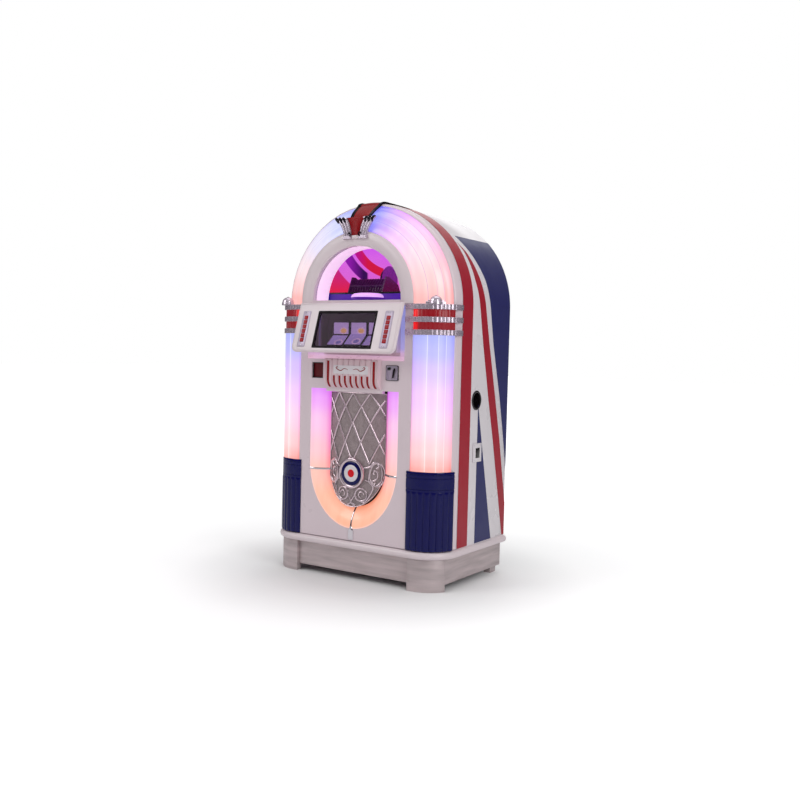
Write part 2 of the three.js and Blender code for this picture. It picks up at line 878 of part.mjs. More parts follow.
// Lenses
function columnSection() {
  const outer = columnArc(columnRadius, lensFrom, lensTo, lobeSteps * 4, lobes(lobeDip, lobeLift));
  const innerRadius = columnRadius - lobeDip - lensThickness;
  const inner = columnArc(innerRadius, lensTo, lensFrom, lobeSteps);
  return [...outer, ...inner];
}

function columnLight() {
  return cut(fromAbove(new THREE.Shape(columnSection()), bootTop + seat, columnTop),
    frameKeepOut(bootTop, columnTop + overrun));
}

// The arch lens bulges less than the columns do
function archSection() {
  const steps = lobeSteps * 3;
  const relief = lobes(lobeDip, 0);
  const outer = Array.from({ length: steps + 1 }, (_, k) => lensPoint(k / steps,
    k % steps ? relief(k / steps) : 0));
  const inner = Array.from({ length: lobeSteps + 1 },
    (_, k) => lensPoint(1 - k / lobeSteps, -lobeDip - lensThickness));
  inner[0] = vec2(trimLip - lensThickness, trimFront - seat);
  inner[lobeSteps] = vec2(lightInner, lensThickness);
  return [...outer, ...inner];
}

// A point on the arch lens, by its share of the way out and its lift above the surface
function lensPoint(share, lift) {
  const start = vec2(lightInner, 0);
  const end = vec2(trimLip, trimFront - seat);
  const along = end.clone().sub(start);
  const out = vec2(along.y, -along.x).normalize();
  return start.addScaledVector(along, share).addScaledVector(out,
    archBulge * Math.sin(Math.PI * share) + lift);
}

function archLight() {
  return archSweep(archSection(), bandTop + seat);
}

// Fluted boots that cover the foot of each column
function arcShell(outer, thickness, from, to, steps, relief) {
  return new THREE.Shape([
    ...columnArc(outer, from, to, steps, relief),
    ...columnArc(outer - thickness, to, from, Math.ceil(steps / 3)),
  ]);
}

function frameKeepOut(low, high) {
  const face = block(-frameEdge, frameEdge + seat, -seat, doorDepth, low, high);
  const trim = block(trimSole - seat, halfWidth + seat, trimFront - seat, doorDepth, low, high);
  return join(face, trim);
}

function boot() {
  const low = cabinetBase + doorFoot;
  const collarBase = bootTop - bootCollar;
  const skirtRadius = columnRadius + bootProud + collarStep;
  const collarRadius = columnRadius + bootProud;
  const range = (radius) => [startAngle(bootStart, radius), endAngle(bootEnd, radius)];
  const skirt = fromAbove(arcShell(skirtRadius, bootThickness + collarStep, ...range(skirtRadius),
    bootFlutes * 2, flutes(bootFlutes, bootFluteDepth)), low, collarBase);
  const collar = fromAbove(arcShell(collarRadius, bootThickness, ...range(collarRadius), roundSteps,
    () => 0),
    collarBase - seat, bootTop);
  const grooves = collarGroovesShare.map((share) => {
    const base = collarBase + bootCollar * share;
    const [from, to] = range(collarRadius);
    return fromAbove(arcShell(collarRadius + overrun, overrun + collarGroove, from, to, roundSteps,
      () => 0),
      base, base + collarGrooveHeight);
  });
  return cut(join(skirt, collar), ...grooves, frameKeepOut(low - overrun, bootTop + overrun));
}

// Chrome band with arms that reach over the door face and the side trim
function chromeBand(low, inner) {
  const high = low + bandHeight - seat;
  const radius = columnRadius + bandProud;
  const from = startAngle(lightInner, radius);
  const to = endAngle(trimFront + trimShoulder, radius);
  const ring = fromAbove(arcShell(radius, inner, from, to, bandFlutes * 2,
    flutes(bandFlutes, bandFluteDepth)),
    low, high);
  const frontArm = block(bandArm, columnCentreX, -armProud, -seat, low, high);
  const sideArm = block(halfWidth + seat, halfWidth + armProud, trimFront, doorDepth, low, high);
  return join(ring, frontArm, sideArm);
}

// Narrow posts at both edges tie the three bands into one casting
function bandPosts() {
  const radius = columnRadius + bandProud - bandFluteDepth;
  const from = startAngle(lightInner, radius);
  const to = endAngle(trimFront, radius);
  const turn = bandPost / radius;
  const shell = (a, b) => fromAbove(arcShell(radius, bandThickness - bandFluteDepth, a, b, 2, () => 0),
    bandBottoms[0], bandTop - weld);
  return join(shell(from, from + turn), shell(to - turn, to));
}

function finial() {
  const low = bandTop;
  const angle = lensFrom + (lensTo - lensFrom) * finialShare;
  const radius = columnRadius;
  const x = columnCentreX + radius * Math.cos(angle);
  const y = columnCentreY + radius * Math.sin(angle);
  const span = (lensTo - lensFrom) * (lobeShare[2] - lobeShare[1]) / 2;
  const step = fromAbove(arcShell(columnRadius + bandProud / 2, finialStepThickness, angle - span,
    angle + span,
    roundSteps / 2, () => 0), low - weld, low + finialStep);
  const domeSteps = 4;
  const profile = [vec2(0, 0)];
  for (let k = 0; k <= domeSteps; k += 1) {
    const turn = (Math.PI / 2) * (k / domeSteps);
    profile.push(vec2(finialRadius * Math.cos(turn) || 0, finialHeight * Math.sin(turn)));
  }
  profile[profile.length - 1].x = 0;
  const dome = facesOut(mergeVertices(stripped(new THREE.LatheGeometry(profile,
    3 * lobeSteps)))).rotateX(Math.PI / 2);
  dome.translate(x, y, low - weld);
  const lensRoom = archSweep(archRoomOutline(), low);
  return cut(join(step, dome), lensRoom);
}

// The space that the arch lens fills, with its seat gap
function archRoomOutline() {
  const steps = lobeSteps * 3;
  const outer = Array.from({ length: steps + 1 }, (_, k) => lensPoint(k / steps, seat));
  return [vec2(lightInner - seat, overrun), ...outer, vec2(halfWidth, trimFront),
    vec2(halfWidth, doorDepth),
    vec2(lightInner - seat, doorDepth)];
}

function bandSet() {
  const full = bandThickness;
  const radius = columnRadius + bandProud - bandSkin;
  const post = (1.5 * bandPost) / radius;
  const redRoom = fromAbove(arcShell(radius, bandThickness, startAngle(lightInner, radius) + post,
    endAngle(trimFront, radius) - post, bandFlutes, () => 0),
  bandBottoms[1] - overrun, bandBottoms[2] - seat);
  const bands = join(chromeBand(bandBottoms[0], full), cut(chromeBand(bandBottoms[1], full), redRoom),
    chromeBand(bandBottoms[2], full), bandPosts());
  return join(cut(bands, frameKeepOut(bandBottoms[0] - overrun, bandTop + overrun)), finial());
}

function redBand() {
  const radius = columnRadius + redProud;
  const low = bandBottoms[0] + bandHeight;
  const high = bandBottoms[2] - seat;
  const post = (2 * bandPost) / radius;
  const from = startAngle(lightInner, radius) + post;
  const to = endAngle(trimFront - seat, radius) - post;
  const shell = fromAbove(arcShell(radius, bandSkin + 2 * redRelief, from, to, lobeSteps * 4,
    lobes(redRelief, redRelief / 2)), low, high);
  return cut(shell, frameKeepOut(low - overrun, high + overrun));
}

// Crown: two fluted pylons, a red saddle over the arch and dark rails beside it
function pylon() {
  const steps = pylonSteps;
  const low = crownBottom + crownPedestal;
  const flare = (inner, outer) => (share) => inner + (outer - inner) * share * share;
  const innerEdge = flare(crownFootHalf, crownTopInner);
  const outerEdge = flare(crownFootOuter, crownTopOuter);
  const height = (share) => low + (crownTop - low) * share;
  const rise = Array.from({ length: steps + 1 }, (_, k) => k / steps);
  const outline = polygon([
    ...rise.map((share) => [outerEdge(share), height(share)]),
    ...rise.slice().reverse().map((share) => [innerEdge(share), height(share)]),
  ]);
  const front = -crownReach;
  const back = -columnProud - seat;
  const column = fromFront(outline, front, back);
  const pedestal = block(crownFootHalf - pylonFluteDepth, crownFootOuter + pylonFluteDepth,
    front - pylonFluteDepth, -seat,
    crownBottom, low);
  const grooves = Array.from({ length: pylonFlutes }, (_, k) => {
    const across = (k + 0.5) / pylonFlutes;
    const path = rise.map((share) => innerEdge(share) + (outerEdge(share) - innerEdge(share)) * across);
    const half = pylonFluteDepth;
    return fromFront(polygon([
      ...rise.map((share, i) => [path[i] + half, height(share) + (i === steps ? overrun : 0)]),
      ...rise.slice().reverse().map((share, i) => [path[steps - i] - half,
        height(share) + (i === 0 ? overrun : 0)]),
    ]), front - overrun, front + pylonFluteDepth);
  });
  return join(cut(column, ...grooves), pedestal);
}

// A strip that lies on the arch lens from the face back to the cabinet
function crownStrip(innerLift, outerLift, from, to, turns = 5) {
  const steps = 4;
  const row = (lift) => {
    const points = Array.from({ length: steps + 1 },
      (_, k) => lensPoint(crownShare + ((1 - crownShare) * k) / steps, lift));
    for (let k = 1; k <= shoulderSteps; k += 1) {
      const angle = (Math.PI / 2) * (k / shoulderSteps);
      points.push(vec2(trimLip + (halfWidth - trimLip + lift) * Math.sin(angle),
        trimFront + trimShoulder * (1 - Math.cos(angle)) - lift * Math.cos(angle)));
    }
    points.push(vec2(halfWidth + lift, doorDepth));
    return points;
  };
  const outline = [...row(outerLift), ...row(innerLift).reverse()];
  const angle = (x) => Math.acos(x / halfWidth);
  return sweep(outline, turns, (point, k) => {
    const turn = angle(from) + ((angle(to) - angle(from)) * k) / (turns - 1);
    return vec3(point.x * Math.cos(turn), point.y, archHeight(point.x, turn));
  });
}

// Console hood
function hoodOutline() {
  return polygon([[-hoodTopReach, hoodTop], [-hoodBottomReach, hoodBottom], [-seat, hoodBottom],
    [-seat, hoodTop]]);
}

function consoleHousing() {
  const rounded = new THREE.Shape();
  rounded.moveTo(hoodHalf, hoodTop + overrun);
  rounded.lineTo(-hoodHalf, hoodTop + overrun);
  rounded.absarc(-hoodHalf + hoodCorner, hoodBottom + hoodCorner, hoodCorner, Math.PI, 1.5 * Math.PI,
    false);
  rounded.absarc(hoodHalf - hoodCorner, hoodBottom + hoodCorner, hoodCorner, 1.5 * Math.PI, 2 * Math.PI,
    false);
  const rearHalf = hoodHalf - hoodTaperShare * hoodBottomReach;
  const taper = onFace(fromFront(polygon([[-hoodHalf, overrun], [-hoodHalf, 0],
    [-rearHalf, -hoodBottomReach],
    [rearHalf, -hoodBottomReach], [hoodHalf, 0], [hoodHalf,
      overrun]]), -overrun, faceLength + hoodTopReach));
  const wedge = fromSide(hoodOutline(), -hoodHalf - overrun, hoodHalf + overrun);
  const hood = common(common(wedge, taper), fromFront(rounded, -hoodBottomReach - overrun, hoodRearDepth,
    roundSteps / 2));
  const rearLow = hoodBottom + hoodWall;
  const rearHigh = recessTop - hoodWall;
  const rearBox = block(-hoodRearHalf, hoodRearHalf, -2 * seat, hoodRearDepth, rearLow, rearHigh);
  const slopeAt = (z) => -hoodBottomReach + (hoodSlope * (z - hoodBottom)) / hoodRise;
  const innerLow = rearLow + hoodWall;
  const innerHigh = rearHigh - hoodWall;
  const inside = fromSide(polygon([[slopeAt(innerLow) + hoodWall, innerLow],
    [hoodRearDepth - hoodWall, innerLow],
    [hoodRearDepth - hoodWall, innerHigh], [slopeAt(innerHigh) + hoodWall, innerHigh]]),
  -hoodRearHalf + hoodWall, hoodRearHalf - hoodWall);
  return cut(join(hood, rearBox, ...keyPads()), inside, ...faceCuts());
}

// Cuts made square to the sloping face
function faceCuts() {
  const display = onFace(block(-displayHalf, displayHalf, displayLow, displayHigh, -2 * hoodWall, overrun));
  const slots = [-1, 1].map((side) => onFace(block(side * keyPlateX - keySlot / 2,
    side * keyPlateX + keySlot / 2,
    keyLow() - keyHeight, keyLow() + keyPitch * keysPerPlate, -hoodWall * 2, -keySkin)));
  return [display, ...slots, ...keyHoles()];
}

function keyHoles() {
  const places = [-1, 1].flatMap((side) => Array.from({ length: keysPerPlate },
    (_, k) => [side * keyPlateX, k]));
  const halfHole = keyWidth / 2 + keyClear;
  const halfRise = keyHeight / 2 + keyClear;
  return places.map(([x, k]) => onFace(block(x - halfHole, x + halfHole, keyLow() + k * keyPitch - halfRise,
    keyLow() + k * keyPitch + halfRise, -hoodWall, keyPlateThickness + overrun)));
}

// A raised plate round each row of keys
function keyPads() {
  return [-1, 1].map((side) => onFace(block(side * keyPlateX - keyPlateWidth / 2,
    side * keyPlateX + keyPlateWidth / 2,
    keyPlateLow, keyPlateHigh, -weld, keyPlateThickness)));
}

const keyLow = () => (keyPlateLow + keyPlateHigh) / 2 - ((keysPerPlate - 1) / 2) * keyPitch;

// Moves a piece from face coordinates (x, up the slope, out of the face) to the door's own
function onFace(piece) {
  return piece.rotateX(faceAngle).translate(0, -hoodBottomReach, hoodBottom);
}

function displayWindow() {
  const gap = seat;
  const frame = block(-displayHalf + gap, displayHalf - gap, displayLow + gap, displayHigh - gap, -hoodWall,
    seat);
  const opening = block(-displayHalf + displayBorder, displayHalf - displayBorder,
    displayLow + displayBorder,
    displayHigh - displayBorder, -hoodWall + displayPane, overrun);
  return cut(frame, opening);
}

// Title rack: uprights behind, a sloping lower row and the hinge line between them
function titleRack() {
  const half = (cardColumns * cardPitch) / 2;
  const rear = cardPlace + cardThickness * 3;
  const floor = hoodBottom + 2 * hoodWall + seat;
  const upper = block(-half, half, cardPlace + cardThickness, rear, cardHinge - cardThickness,
    cardHinge + cardHeight);
  const pieces = [upper];
  for (let k = 0; k < cardColumns; k += 1) {
    const x = (k - (cardColumns - 1) / 2) * cardPitch;
    pieces.push(block(x - cardWidth / 2, x + cardWidth / 2, cardPlace, cardPlace + 2 * cardThickness,
      cardHinge,
      cardHinge + cardHeight - cardThickness));
    pieces.push(fromSide(polygon([[cardPlace - cardThickness, cardHinge - cardThickness],
      [cardPlace - cardLowerReach, cardHinge - cardLowerDrop],
      [cardPlace - cardLowerReach, cardHinge - cardLowerDrop - 2 * cardThickness],
      [cardPlace + 2 * cardThickness,
        cardHinge - 2 * cardThickness]]), x - cardWidth / 2, x + cardWidth / 2));
  }
  const back = block(-half, half, cardPlace + cardThickness, rear, floor, cardHinge);
  const shelf = block(-half, half, cardPlace - cardLowerReach - cardThickness, rear, floor,
    floor + cardThickness);
  const lip = block(-half, half, cardPlace - cardLowerReach - cardThickness,
    cardPlace - cardLowerReach + cardThickness,
    floor, cardHinge - cardLowerDrop - cardThickness);
  const lugReach = cardWidth / 2 + seat;
  const lugs = [-1, 1].map((side) => cut(
    block(Math.min(side * lugReach, side * (lugReach + pageLug)),
      Math.max(side * lugReach, side * (lugReach + pageLug)),
      pageY - 2 * pagePin, cardPlace + 2 * cardThickness, pageZ - 2 * pagePin, pageZ + 2 * pagePin),
    barX(pageJournal + seat / 2, -lugReach - 2 * pageLug, lugReach + 2 * pageLug, pageY, pageZ, pinSides)));
  return join(...pieces, back, shelf, lip, ...lugs);
}

// One page that flips from the lower row to the upper row
function titlePage() {
  const length = Math.hypot(cardLowerReach, cardLowerDrop) - cardThickness * 2;
  const leaf = block(-cardWidth / 2, cardWidth / 2, -length, 0, -cardThickness / 4, cardThickness / 4);
  const roll = barX(pagePin, -cardWidth / 2, cardWidth / 2, 0, 0, pinSides);
  const journals = barX(pageJournal, -cardWidth / 2 - pageLug, cardWidth / 2 + pageLug, 0, 0, pinSides);
  const tilt = Math.atan2(cardLowerDrop, cardLowerReach);
  return toGeometry(join(leaf, roll, journals)).rotateX(tilt).translate(0, pageY, pageZ);
}

function key() {
  const top = keyPlateThickness + keyProud;
  const chamfer = keyProud / 3;
  const base = -keySkin - seat - weld;
  const cap = new THREE.ExtrudeGeometry(
    rectangle(-keyWidth / 2 + chamfer, keyWidth / 2 - chamfer, -keyHeight / 2 + chamfer,
      keyHeight / 2 - chamfer),
    { depth: top - base - 2 * chamfer, bevelThickness: chamfer, bevelSize: chamfer, bevelSegments: 1,
      curveSegments: 1 });
  cap.translate(0, 0, base + chamfer);
  const flange = block(-keyWidth / 2 - keyFlange, keyWidth / 2 + keyFlange, -keyHeight / 2 - keyFlange,
    keyHeight / 2 + keyFlange, base - keyFlangeThickness, base + weld);
  return join(cap, flange);
}

// Selector panel: a ribbed bullnose with a bare name plate
function selectorPanel() {
  const side = new THREE.Shape();
  const round = selectorRound;
  side.moveTo(-seat, selectorTop);
  side.lineTo(-selectorReach + selectorGroove, selectorTop);
  side.lineTo(-selectorReach, selectorTop - selectorGroove);
  side.lineTo(-selectorReach, selectorBottom + round);
  side.quadraticCurveTo(-selectorReach, selectorBottom + round / 3, -seat, selectorBottom);
  const body = fromSide(side, -selectorHalf, selectorHalf, 8);
  const ribs = Math.floor((2 * selectorHalf) / selectorRibPitch);
  const grooves = Array.from({ length: ribs - 1 }, (_, k) => {
    const x = (k + 1 - ribs / 2) * selectorRibPitch;
    return block(x - selectorGrooveWidth / 2, x + selectorGrooveWidth / 2, -selectorReach - overrun,
      -selectorReach + selectorGroove, selectorBottom, selectorTop + overrun);
  });
  const plate = block(-nameHalf, nameHalf, -selectorReach - nameProud, -selectorGroove, nameLow, nameHigh);
  return join(cut(body, ...grooves), plate);
}

// Coin return cup behind the left window, with its flap hung from the top
function coinReturnCup() {
  const outer = block(returnLeft, returnRight, flapSet, cupDepth, returnLow, returnHigh);
  const inner = block(returnLeft + cupWall, returnRight - cupWall, -overrun, cupDepth - cupWall,
    returnLow + cupWall,
    returnHigh - cupWall);
  return cut(outer, inner);
}

const flapPinY = flapSet + flapPin + cupWall;
const flapPinZ = returnHigh - cupWall - flapPin - seat;

function coinReturnFlap() {
  const left = returnLeft + cupWall + seat;
  const right = returnRight - cupWall - seat;
  const leaf = block(left, right, flapPinY - flapThickness / 2, flapPinY + flapThickness / 2,
    returnLow + cupWall + 2 * seat, flapPinZ);
  return join(leaf, barX(flapPin, left, right, flapPinY, flapPinZ, barSides));
}

function coinBezel() {
  const plate = block(bezelLeft, bezelRight, bezelRim - bezelProud, bezelThickness, bezelLow, bezelHigh);
  const rim = cut(block(bezelLeft, bezelRight, -bezelProud, bezelThickness, bezelLow, bezelHigh),
    block(bezelLeft + bezelRim, bezelRight - bezelRim, -bezelProud - overrun, bezelThickness + overrun,
      bezelLow + bezelRim, bezelHigh - bezelRim));
  const x = (bezelLeft + bezelRight) / 2;
  const z = (bezelLow + bezelHigh) / 2 - rejectRadius / 2;
  const pad = block(x - bezelRim * 3, x + bezelRim * 3, 0, bezelThickness,
    z - coinSlotHeight * coinPadShares[0],
    z + coinSlotHeight * coinPadShares[1]);
  const slot = block(-coinSlotWidth / 2, coinSlotWidth / 2, -overrun, bezelThickness + overrun,
    -coinSlotHeight / 2,
    coinSlotHeight / 2).rotateY(coinSlotTilt).translate(x, 0, z);
  const bore = barY(rejectRadius + keyClear, -2 * bezelProud - overrun, bezelThickness + overrun,
    bezelLeft + rejectInset, bezelHigh - rejectInset);
  return cut(join(plate, rim, pad), slot, bore);
}

function rejectButton() {
  const x = bezelLeft + rejectInset;
  const z = bezelHigh - rejectInset;
  const cap = barY(rejectRadius, -rejectProud, bezelThickness + seat, x, z);
  const collar = barY(rejectRadius + 2 * keyFlange, bezelThickness + seat,
    bezelThickness + keyFlangeThickness, x, z);
  return join(cap, collar);
}

// U light: a cove from the door face in to the grille
function coveDepth(share) {
  return grilleRecess * share * share;
}

function uStations() {
  const stations = [[1, null]];
  for (let k = 0; k <= uSteps; k += 1) stations.push([null, (-Math.PI * k) / uSteps]);
  stations.push([-1, null]);
  return stations;
}

function uPlace(half, drop, station) {
  const [leg, angle] = station;
  if (leg !== null) return vec2(leg * half, lightTop);
  return vec2(half * Math.cos(angle), lightCentre + drop * Math.sin(angle));
}

function coveOutline(front, back, from = 0, to = 1, steps = 5) {
  const row = (lift) => Array.from({ length: steps + 1 }, (_, k) => {
    const share = from + ((to - from) * k) / steps;
    return vec2(share, coveDepth(share) + lift);
  });
  return [...row(front), ...row(back).reverse()];
}

function uLight() {
  const stations = uStations();
  return sweep(coveOutline(0, coveThickness), stations.length, (point, k) => {
    const outer = uPlace(lightHalf, lightDrop, stations[k]);
    const inner = uPlace(grilleHalf, grilleDrop, stations[k]);
    const place = outer.lerp(inner, point.x);
    return vec3(place.x, point.y, place.y);
  });
}

// Chrome straps over the cove, and the strip that runs down to the door's foot
function chromeStraps() {
  const across = (width, at) => sweep(coveOutline(-strapThickness, -strapLift), 2,
    (point, k) => at(point, (k - 0.5) * width));
  const strap = across(strapWidth, (point, side) => vec3(legAt(point.x, strapHeight + side), point.y,
    strapHeight + side));
  const outerLow = lightCentre - lightDrop;
  const innerLow = lightCentre - grilleDrop;
  const strip = across(stripWidth, (point, side) => vec3(side, point.y,
    outerLow + (innerLow - outerLow) * point.x));
  const flare = tabWidth / 4;
  const tab = fromFront(polygon([[-stripWidth / 2, outerLow + flare], [-tabWidth / 2, tabTop - flare],
    [-tabWidth / 2, tabBottom], [tabWidth / 2, tabBottom], [tabWidth / 2, tabTop - flare],
    [stripWidth / 2, outerLow + flare]]), -strapThickness, -seat);
  const near = grilleRecess - 2 * strapThickness;
  const far = grilleRecess - strapThickness - weld;
  const rimX = legAt(1, strapHeight);
  const sideLug = block(rimX - strapThickness, rimX + strapThickness, near, far,
    strapHeight - strapWidth / 2,
    strapHeight + strapWidth / 2);
  const footLug = block(-stripWidth / 2, stripWidth / 2, near, far, innerLow - strapThickness,
    innerLow + strapThickness);
  return [strap, sideLug, mirrored(strap), mirrored(sideLug), strip, footLug, tab];
}

// Half width of the U light at a share of the way in and at a height
function legAt(share, height) {
  const half = lightHalf + (grilleHalf - lightHalf) * share;
  const drop = lightDrop + (grilleDrop - lightDrop) * share;
  return half * Math.sqrt(1 - Math.max(0, (lightCentre - height) / drop) ** 2);
}

// Bowed grille: mesh sheet, diamond lattice and scrollwork cut from one curved shell
function bowedShell(radius, thickness) {
  const centre = grilleRadius;
  const high = lightTop + overrun;
  const low = lightCentre - lightDrop;
  const tube = cut(barZ(radius, low, high, 0, centre, bowSteps),
    barZ(radius - thickness, low - overrun, high + overrun, 0, centre, bowSteps));
  return cut(tube, block(-radius - overrun, radius + overrun, centre - grilleRadius / 2,
    2 * centre + overrun, low - overrun,
    high + overrun));
}

function grilleMesh() {
  const inset = grilleRim + 4 * seat;
  const outline = uOutline(grilleHalf - inset, grilleTop - inset, grilleDrop - inset);
  return common(bowedShell(grilleRadius, meshThickness),
    fromFront(outline, -grilleRadius, grilleRadius, archSteps));
}

function barBetween(from, to, width) {
  const along = to.clone().sub(from);
  const side = vec2(-along.y, along.x).normalize().multiplyScalar(width / 2);
  const reach = along.clone().normalize().multiplyScalar(width / 4);
  const a = from.clone().sub(reach);
  const b = to.clone().add(reach);
  return polygon([[a.x + side.x, a.y + side.y], [a.x - side.x, a.y - side.y], [b.x - side.x, b.y - side.y],
    [b.x + side.x, b.y + side.y]]);
}

// Crossing bars: every row of crossings is half a pitch across from the last
function latticeBars() {
  const rows = latticeRowShare.map((share) => grilleTop + (latticeFoot - grilleTop) * share);
  const bars = [];
  for (let row = 0; row < rows.length - 1; row += 1) {
    const shift = (row % 2) / 2;
    for (let k = -2; k <= 2; k += 1) {
      for (const side of [-0.5, 0.5]) {
        const from = vec2((k + shift) * latticePitch, rows[row]);
        const to = vec2((k + shift + side) * latticePitch, rows[row + 1]);
        if (Math.abs(from.x) < grilleHalf || Math.abs(to.x) < grilleHalf) bars.push(barBetween(from, to,
          latticeBar));
      }
    }
  }
  return bars;
}

function ringOutline(x, z, rx, rz, width) {
  const shape = new THREE.Shape();
  shape.absellipse(x, z, rx, rz, 0, 2 * Math.PI, false, 0);
  const hole = new THREE.Path();
  hole.absellipse(x, z, rx - width, rz - width, 0, 2 * Math.PI, true, 0);
  shape.holes.push(hole);
  return shape;
}

// A curved ribbon drawn from a centre line and a width that tapers
function ribbon(points, width) {
  const curve = new THREE.SplineCurve(points);
  const steps = points.length * 2;
  const left = [];
  const right = [];
  for (let k = 0; k <= steps; k += 1) {
    const at = curve.getPoint(k / steps);
    const along = curve.getTangent(k / steps);
    const half = (width / 2) * (ribbonEndShare + (1 - ribbonEndShare) * Math.sin((Math.PI * k) / steps));
    left.push([at.x - along.y * half, at.y + along.x * half]);
    right.push([at.x + along.y * half, at.y - along.x * half]);
  }
  return polygon([...left, ...right.reverse()]);
}

function scrollwork() {
  const [lx, lz] = [grilleHalf * loopPlaceShare, medallionHeight];
  const [lrx, lrz] = [grilleHalf * loopWidthShare, grilleHalf * loopHeightShare];
  const [rx, rz] = [grilleHalf * curlPlaceShare, medallionHeight - grilleHalf * curlDropShare];
  const rr = grilleHalf * curlShare;
  const medallionSide = vec2(medallionRadius - scrollWidth / 2, medallionHeight);
  const shapes = [
    ringOutline(lx, lz, lrx, lrz, scrollWidth * ringWidthShare),
    ringOutline(rx, rz, rr, rr, scrollWidth * ringWidthShare),
    ribbon([medallionSide, vec2(lx - lrx, latticeFoot - scrollWidth),
      vec2(lx - lrx / 2, latticeFoot + scrollWidth / 2),
      vec2(lx, lz + lrz)], scrollWidth),
    ribbon([vec2(lx - lrx, lz + lrz / 2), vec2(lx - lrx - scrollWidth / 4, lz - lrz / 2),
      vec2(lx - lrx / 2, lz - lrz),
      vec2(lx - lrx, rz), vec2(rx, rz - rr)], scrollWidth * tailWidthShare),
    ribbon([vec2(rx - rr, rz), vec2(0, rz - rr * tailReachShares[0]),
      vec2(rx - rr, rz - rr * tailReachShares[1])], scrollWidth * tailWidthShare),
  ];
  return shapes;
}

function grilleLattice() {
  const front = grilleRadius + latticeProud;
  const shell = bowedShell(front, latticeProud - seat);
  const deep = grilleRadius;
  const flat = [...latticeBars(), ...scrollwork()].map((shape) => toSolid(fromFront(shape, -deep, deep,
    scrollSteps)));
  const leftHalf = scrollwork().map((shape) => mirrored(fromFront(shape, -deep, deep, scrollSteps)));
  const inset = grilleRim + seat;
  const bounds = fromFront(uOutline(grilleHalf - seat, grilleTop, grilleDrop - seat), -deep,
    bafflePlace - 2 * seat,
    archHalf);
  const inner = fromFront(uOutline(grilleHalf - inset, grilleTop - grilleRim, grilleDrop - inset),
    -deep - overrun,
    bafflePlace + overrun, archHalf);
  const rim = common(cut(bounds, inner), barZ(front, lightCentre - lightDrop, lightTop, 0, grilleRadius,
    bowSteps));
  const pattern = common(common(join(flat[0], ...flat.slice(1), ...leftHalf), bounds), shell);
  const seatHole = barY(medallionRadius + weld, -deep, deep, 0, medallionHeight, 2 * fineRound);
  return join(rim, cut(pattern, seatHole), ...chromeStraps());
}

function medallion() {
  const rim = new THREE.Shape();
  const peak = medallionPeak;
  const spread = Math.PI / 12;
  rim.absarc(0, medallionHeight, medallionRadius, Math.PI / 2 + spread, 2.5 * Math.PI - spread, false);
  rim.quadraticCurveTo(peak / 2, medallionHeight + medallionRadius, 0,
    medallionHeight + medallionRadius + peak);
  const body = fromFront(rim, -medallionProud, -seat, fineRound);
  const face = barY(medallionFace, -medallionProud - overrun, -medallionProud + seat * 4, 0,
    medallionHeight, fineRound);
  const peakKeep = block(-medallionRadius, medallionRadius, -latticeProud - seat, 0,
    medallionHeight + medallionRadius - seat,
    latticeFoot + medallionRadius);
  return cut(body, face, peakKeep);
}

// Speaker on a baffle board behind the grille
function speaker() {
  const rear = bafflePlace + baffleThickness;
  const board = block(-baffleHalf, baffleHalf, bafflePlace, rear, baffleLow, baffleHigh);
  const mouth = barY(speakerRadius - baffleThickness, bafflePlace - overrun, rear + overrun, 0,
    speakerHeight);
  const coneDepth = speakerDepth - baffleThickness / 2;
  const basket = new THREE.CylinderGeometry(magnetRadius, speakerRadius, speakerDepth, roundSteps);
  basket.translate(0, rear + speakerDepth / 2, speakerHeight);
  const cone = new THREE.CylinderGeometry(magnetRadius / 3, speakerRadius - baffleThickness, coneDepth,
    roundSteps);
  cone.translate(0, rear + coneDepth / 2 - seat, speakerHeight);
  const magnet = barY(magnetRadius, rear + speakerDepth - seat, rear + speakerDepth + magnetDepth, 0,
    speakerHeight);
  const studs = [];
  for (const x of [-1, 1]) {
    for (const z of [baffleLow + baffleStud, baffleHigh - baffleStud]) {
      studs.push(barY(baffleStud / 2, frameThickness + seat, bafflePlace + overrun,
        x * (baffleHalf - baffleStud / 2), z,
        pinSides));
    }
  }
  return join(cut(board, mouth), cut(basket, cone), magnet, ...studs);
}

// Deck, rack and player
function mechanismDeck() {
  const low = deckTop - deckThickness;
  const plate = block(-deckHalf, deckHalf, cabinetFront + doorGap, deckRear, low, deckTop);
  const lip = block(-deckLipHalf, deckLipHalf, deckLipFront, cabinetFront + 2 * doorGap, low, deckTop);
  const skirt = block(-deckLipHalf, deckLipHalf, deckLipFront, deckLipFront + skirtThickness, skirtBottom,
    low + seat);
  const half = new THREE.Shape();
  half.absarc(trayPlace, deckLipFront + seat, trayRadius, Math.PI, 2 * Math.PI, false);
  const tray = fromAbove(half, trayTop - trayThickness, trayTop, fineRound);
  const length = rackDiscs * rackPitch + 2 * rackPlate;
  const wellHalf = discRadius + rackGap;
  const well = block(rackCentreX - length / 2, rackCentreX + length / 2, rackCentreY - wellHalf,
    rackCentreY + wellHalf, low - overrun, deckTop + overrun);
  const carriageWell = block(-railHalf - railBlock, railHalf + railBlock, railPlace - railWell,
    railPlace + railWell,
    low - overrun, deckTop + overrun);
  return cut(join(plate, lip, skirt, tray), well, carriageWell);
}

function discBody(x, radius = discRadius, thickness = discThickness, sides = 3 * lobeSteps) {
  return barX(radius, x - thickness / 2, x + thickness / 2, rackCentreY, rackCentreZ, sides);
}

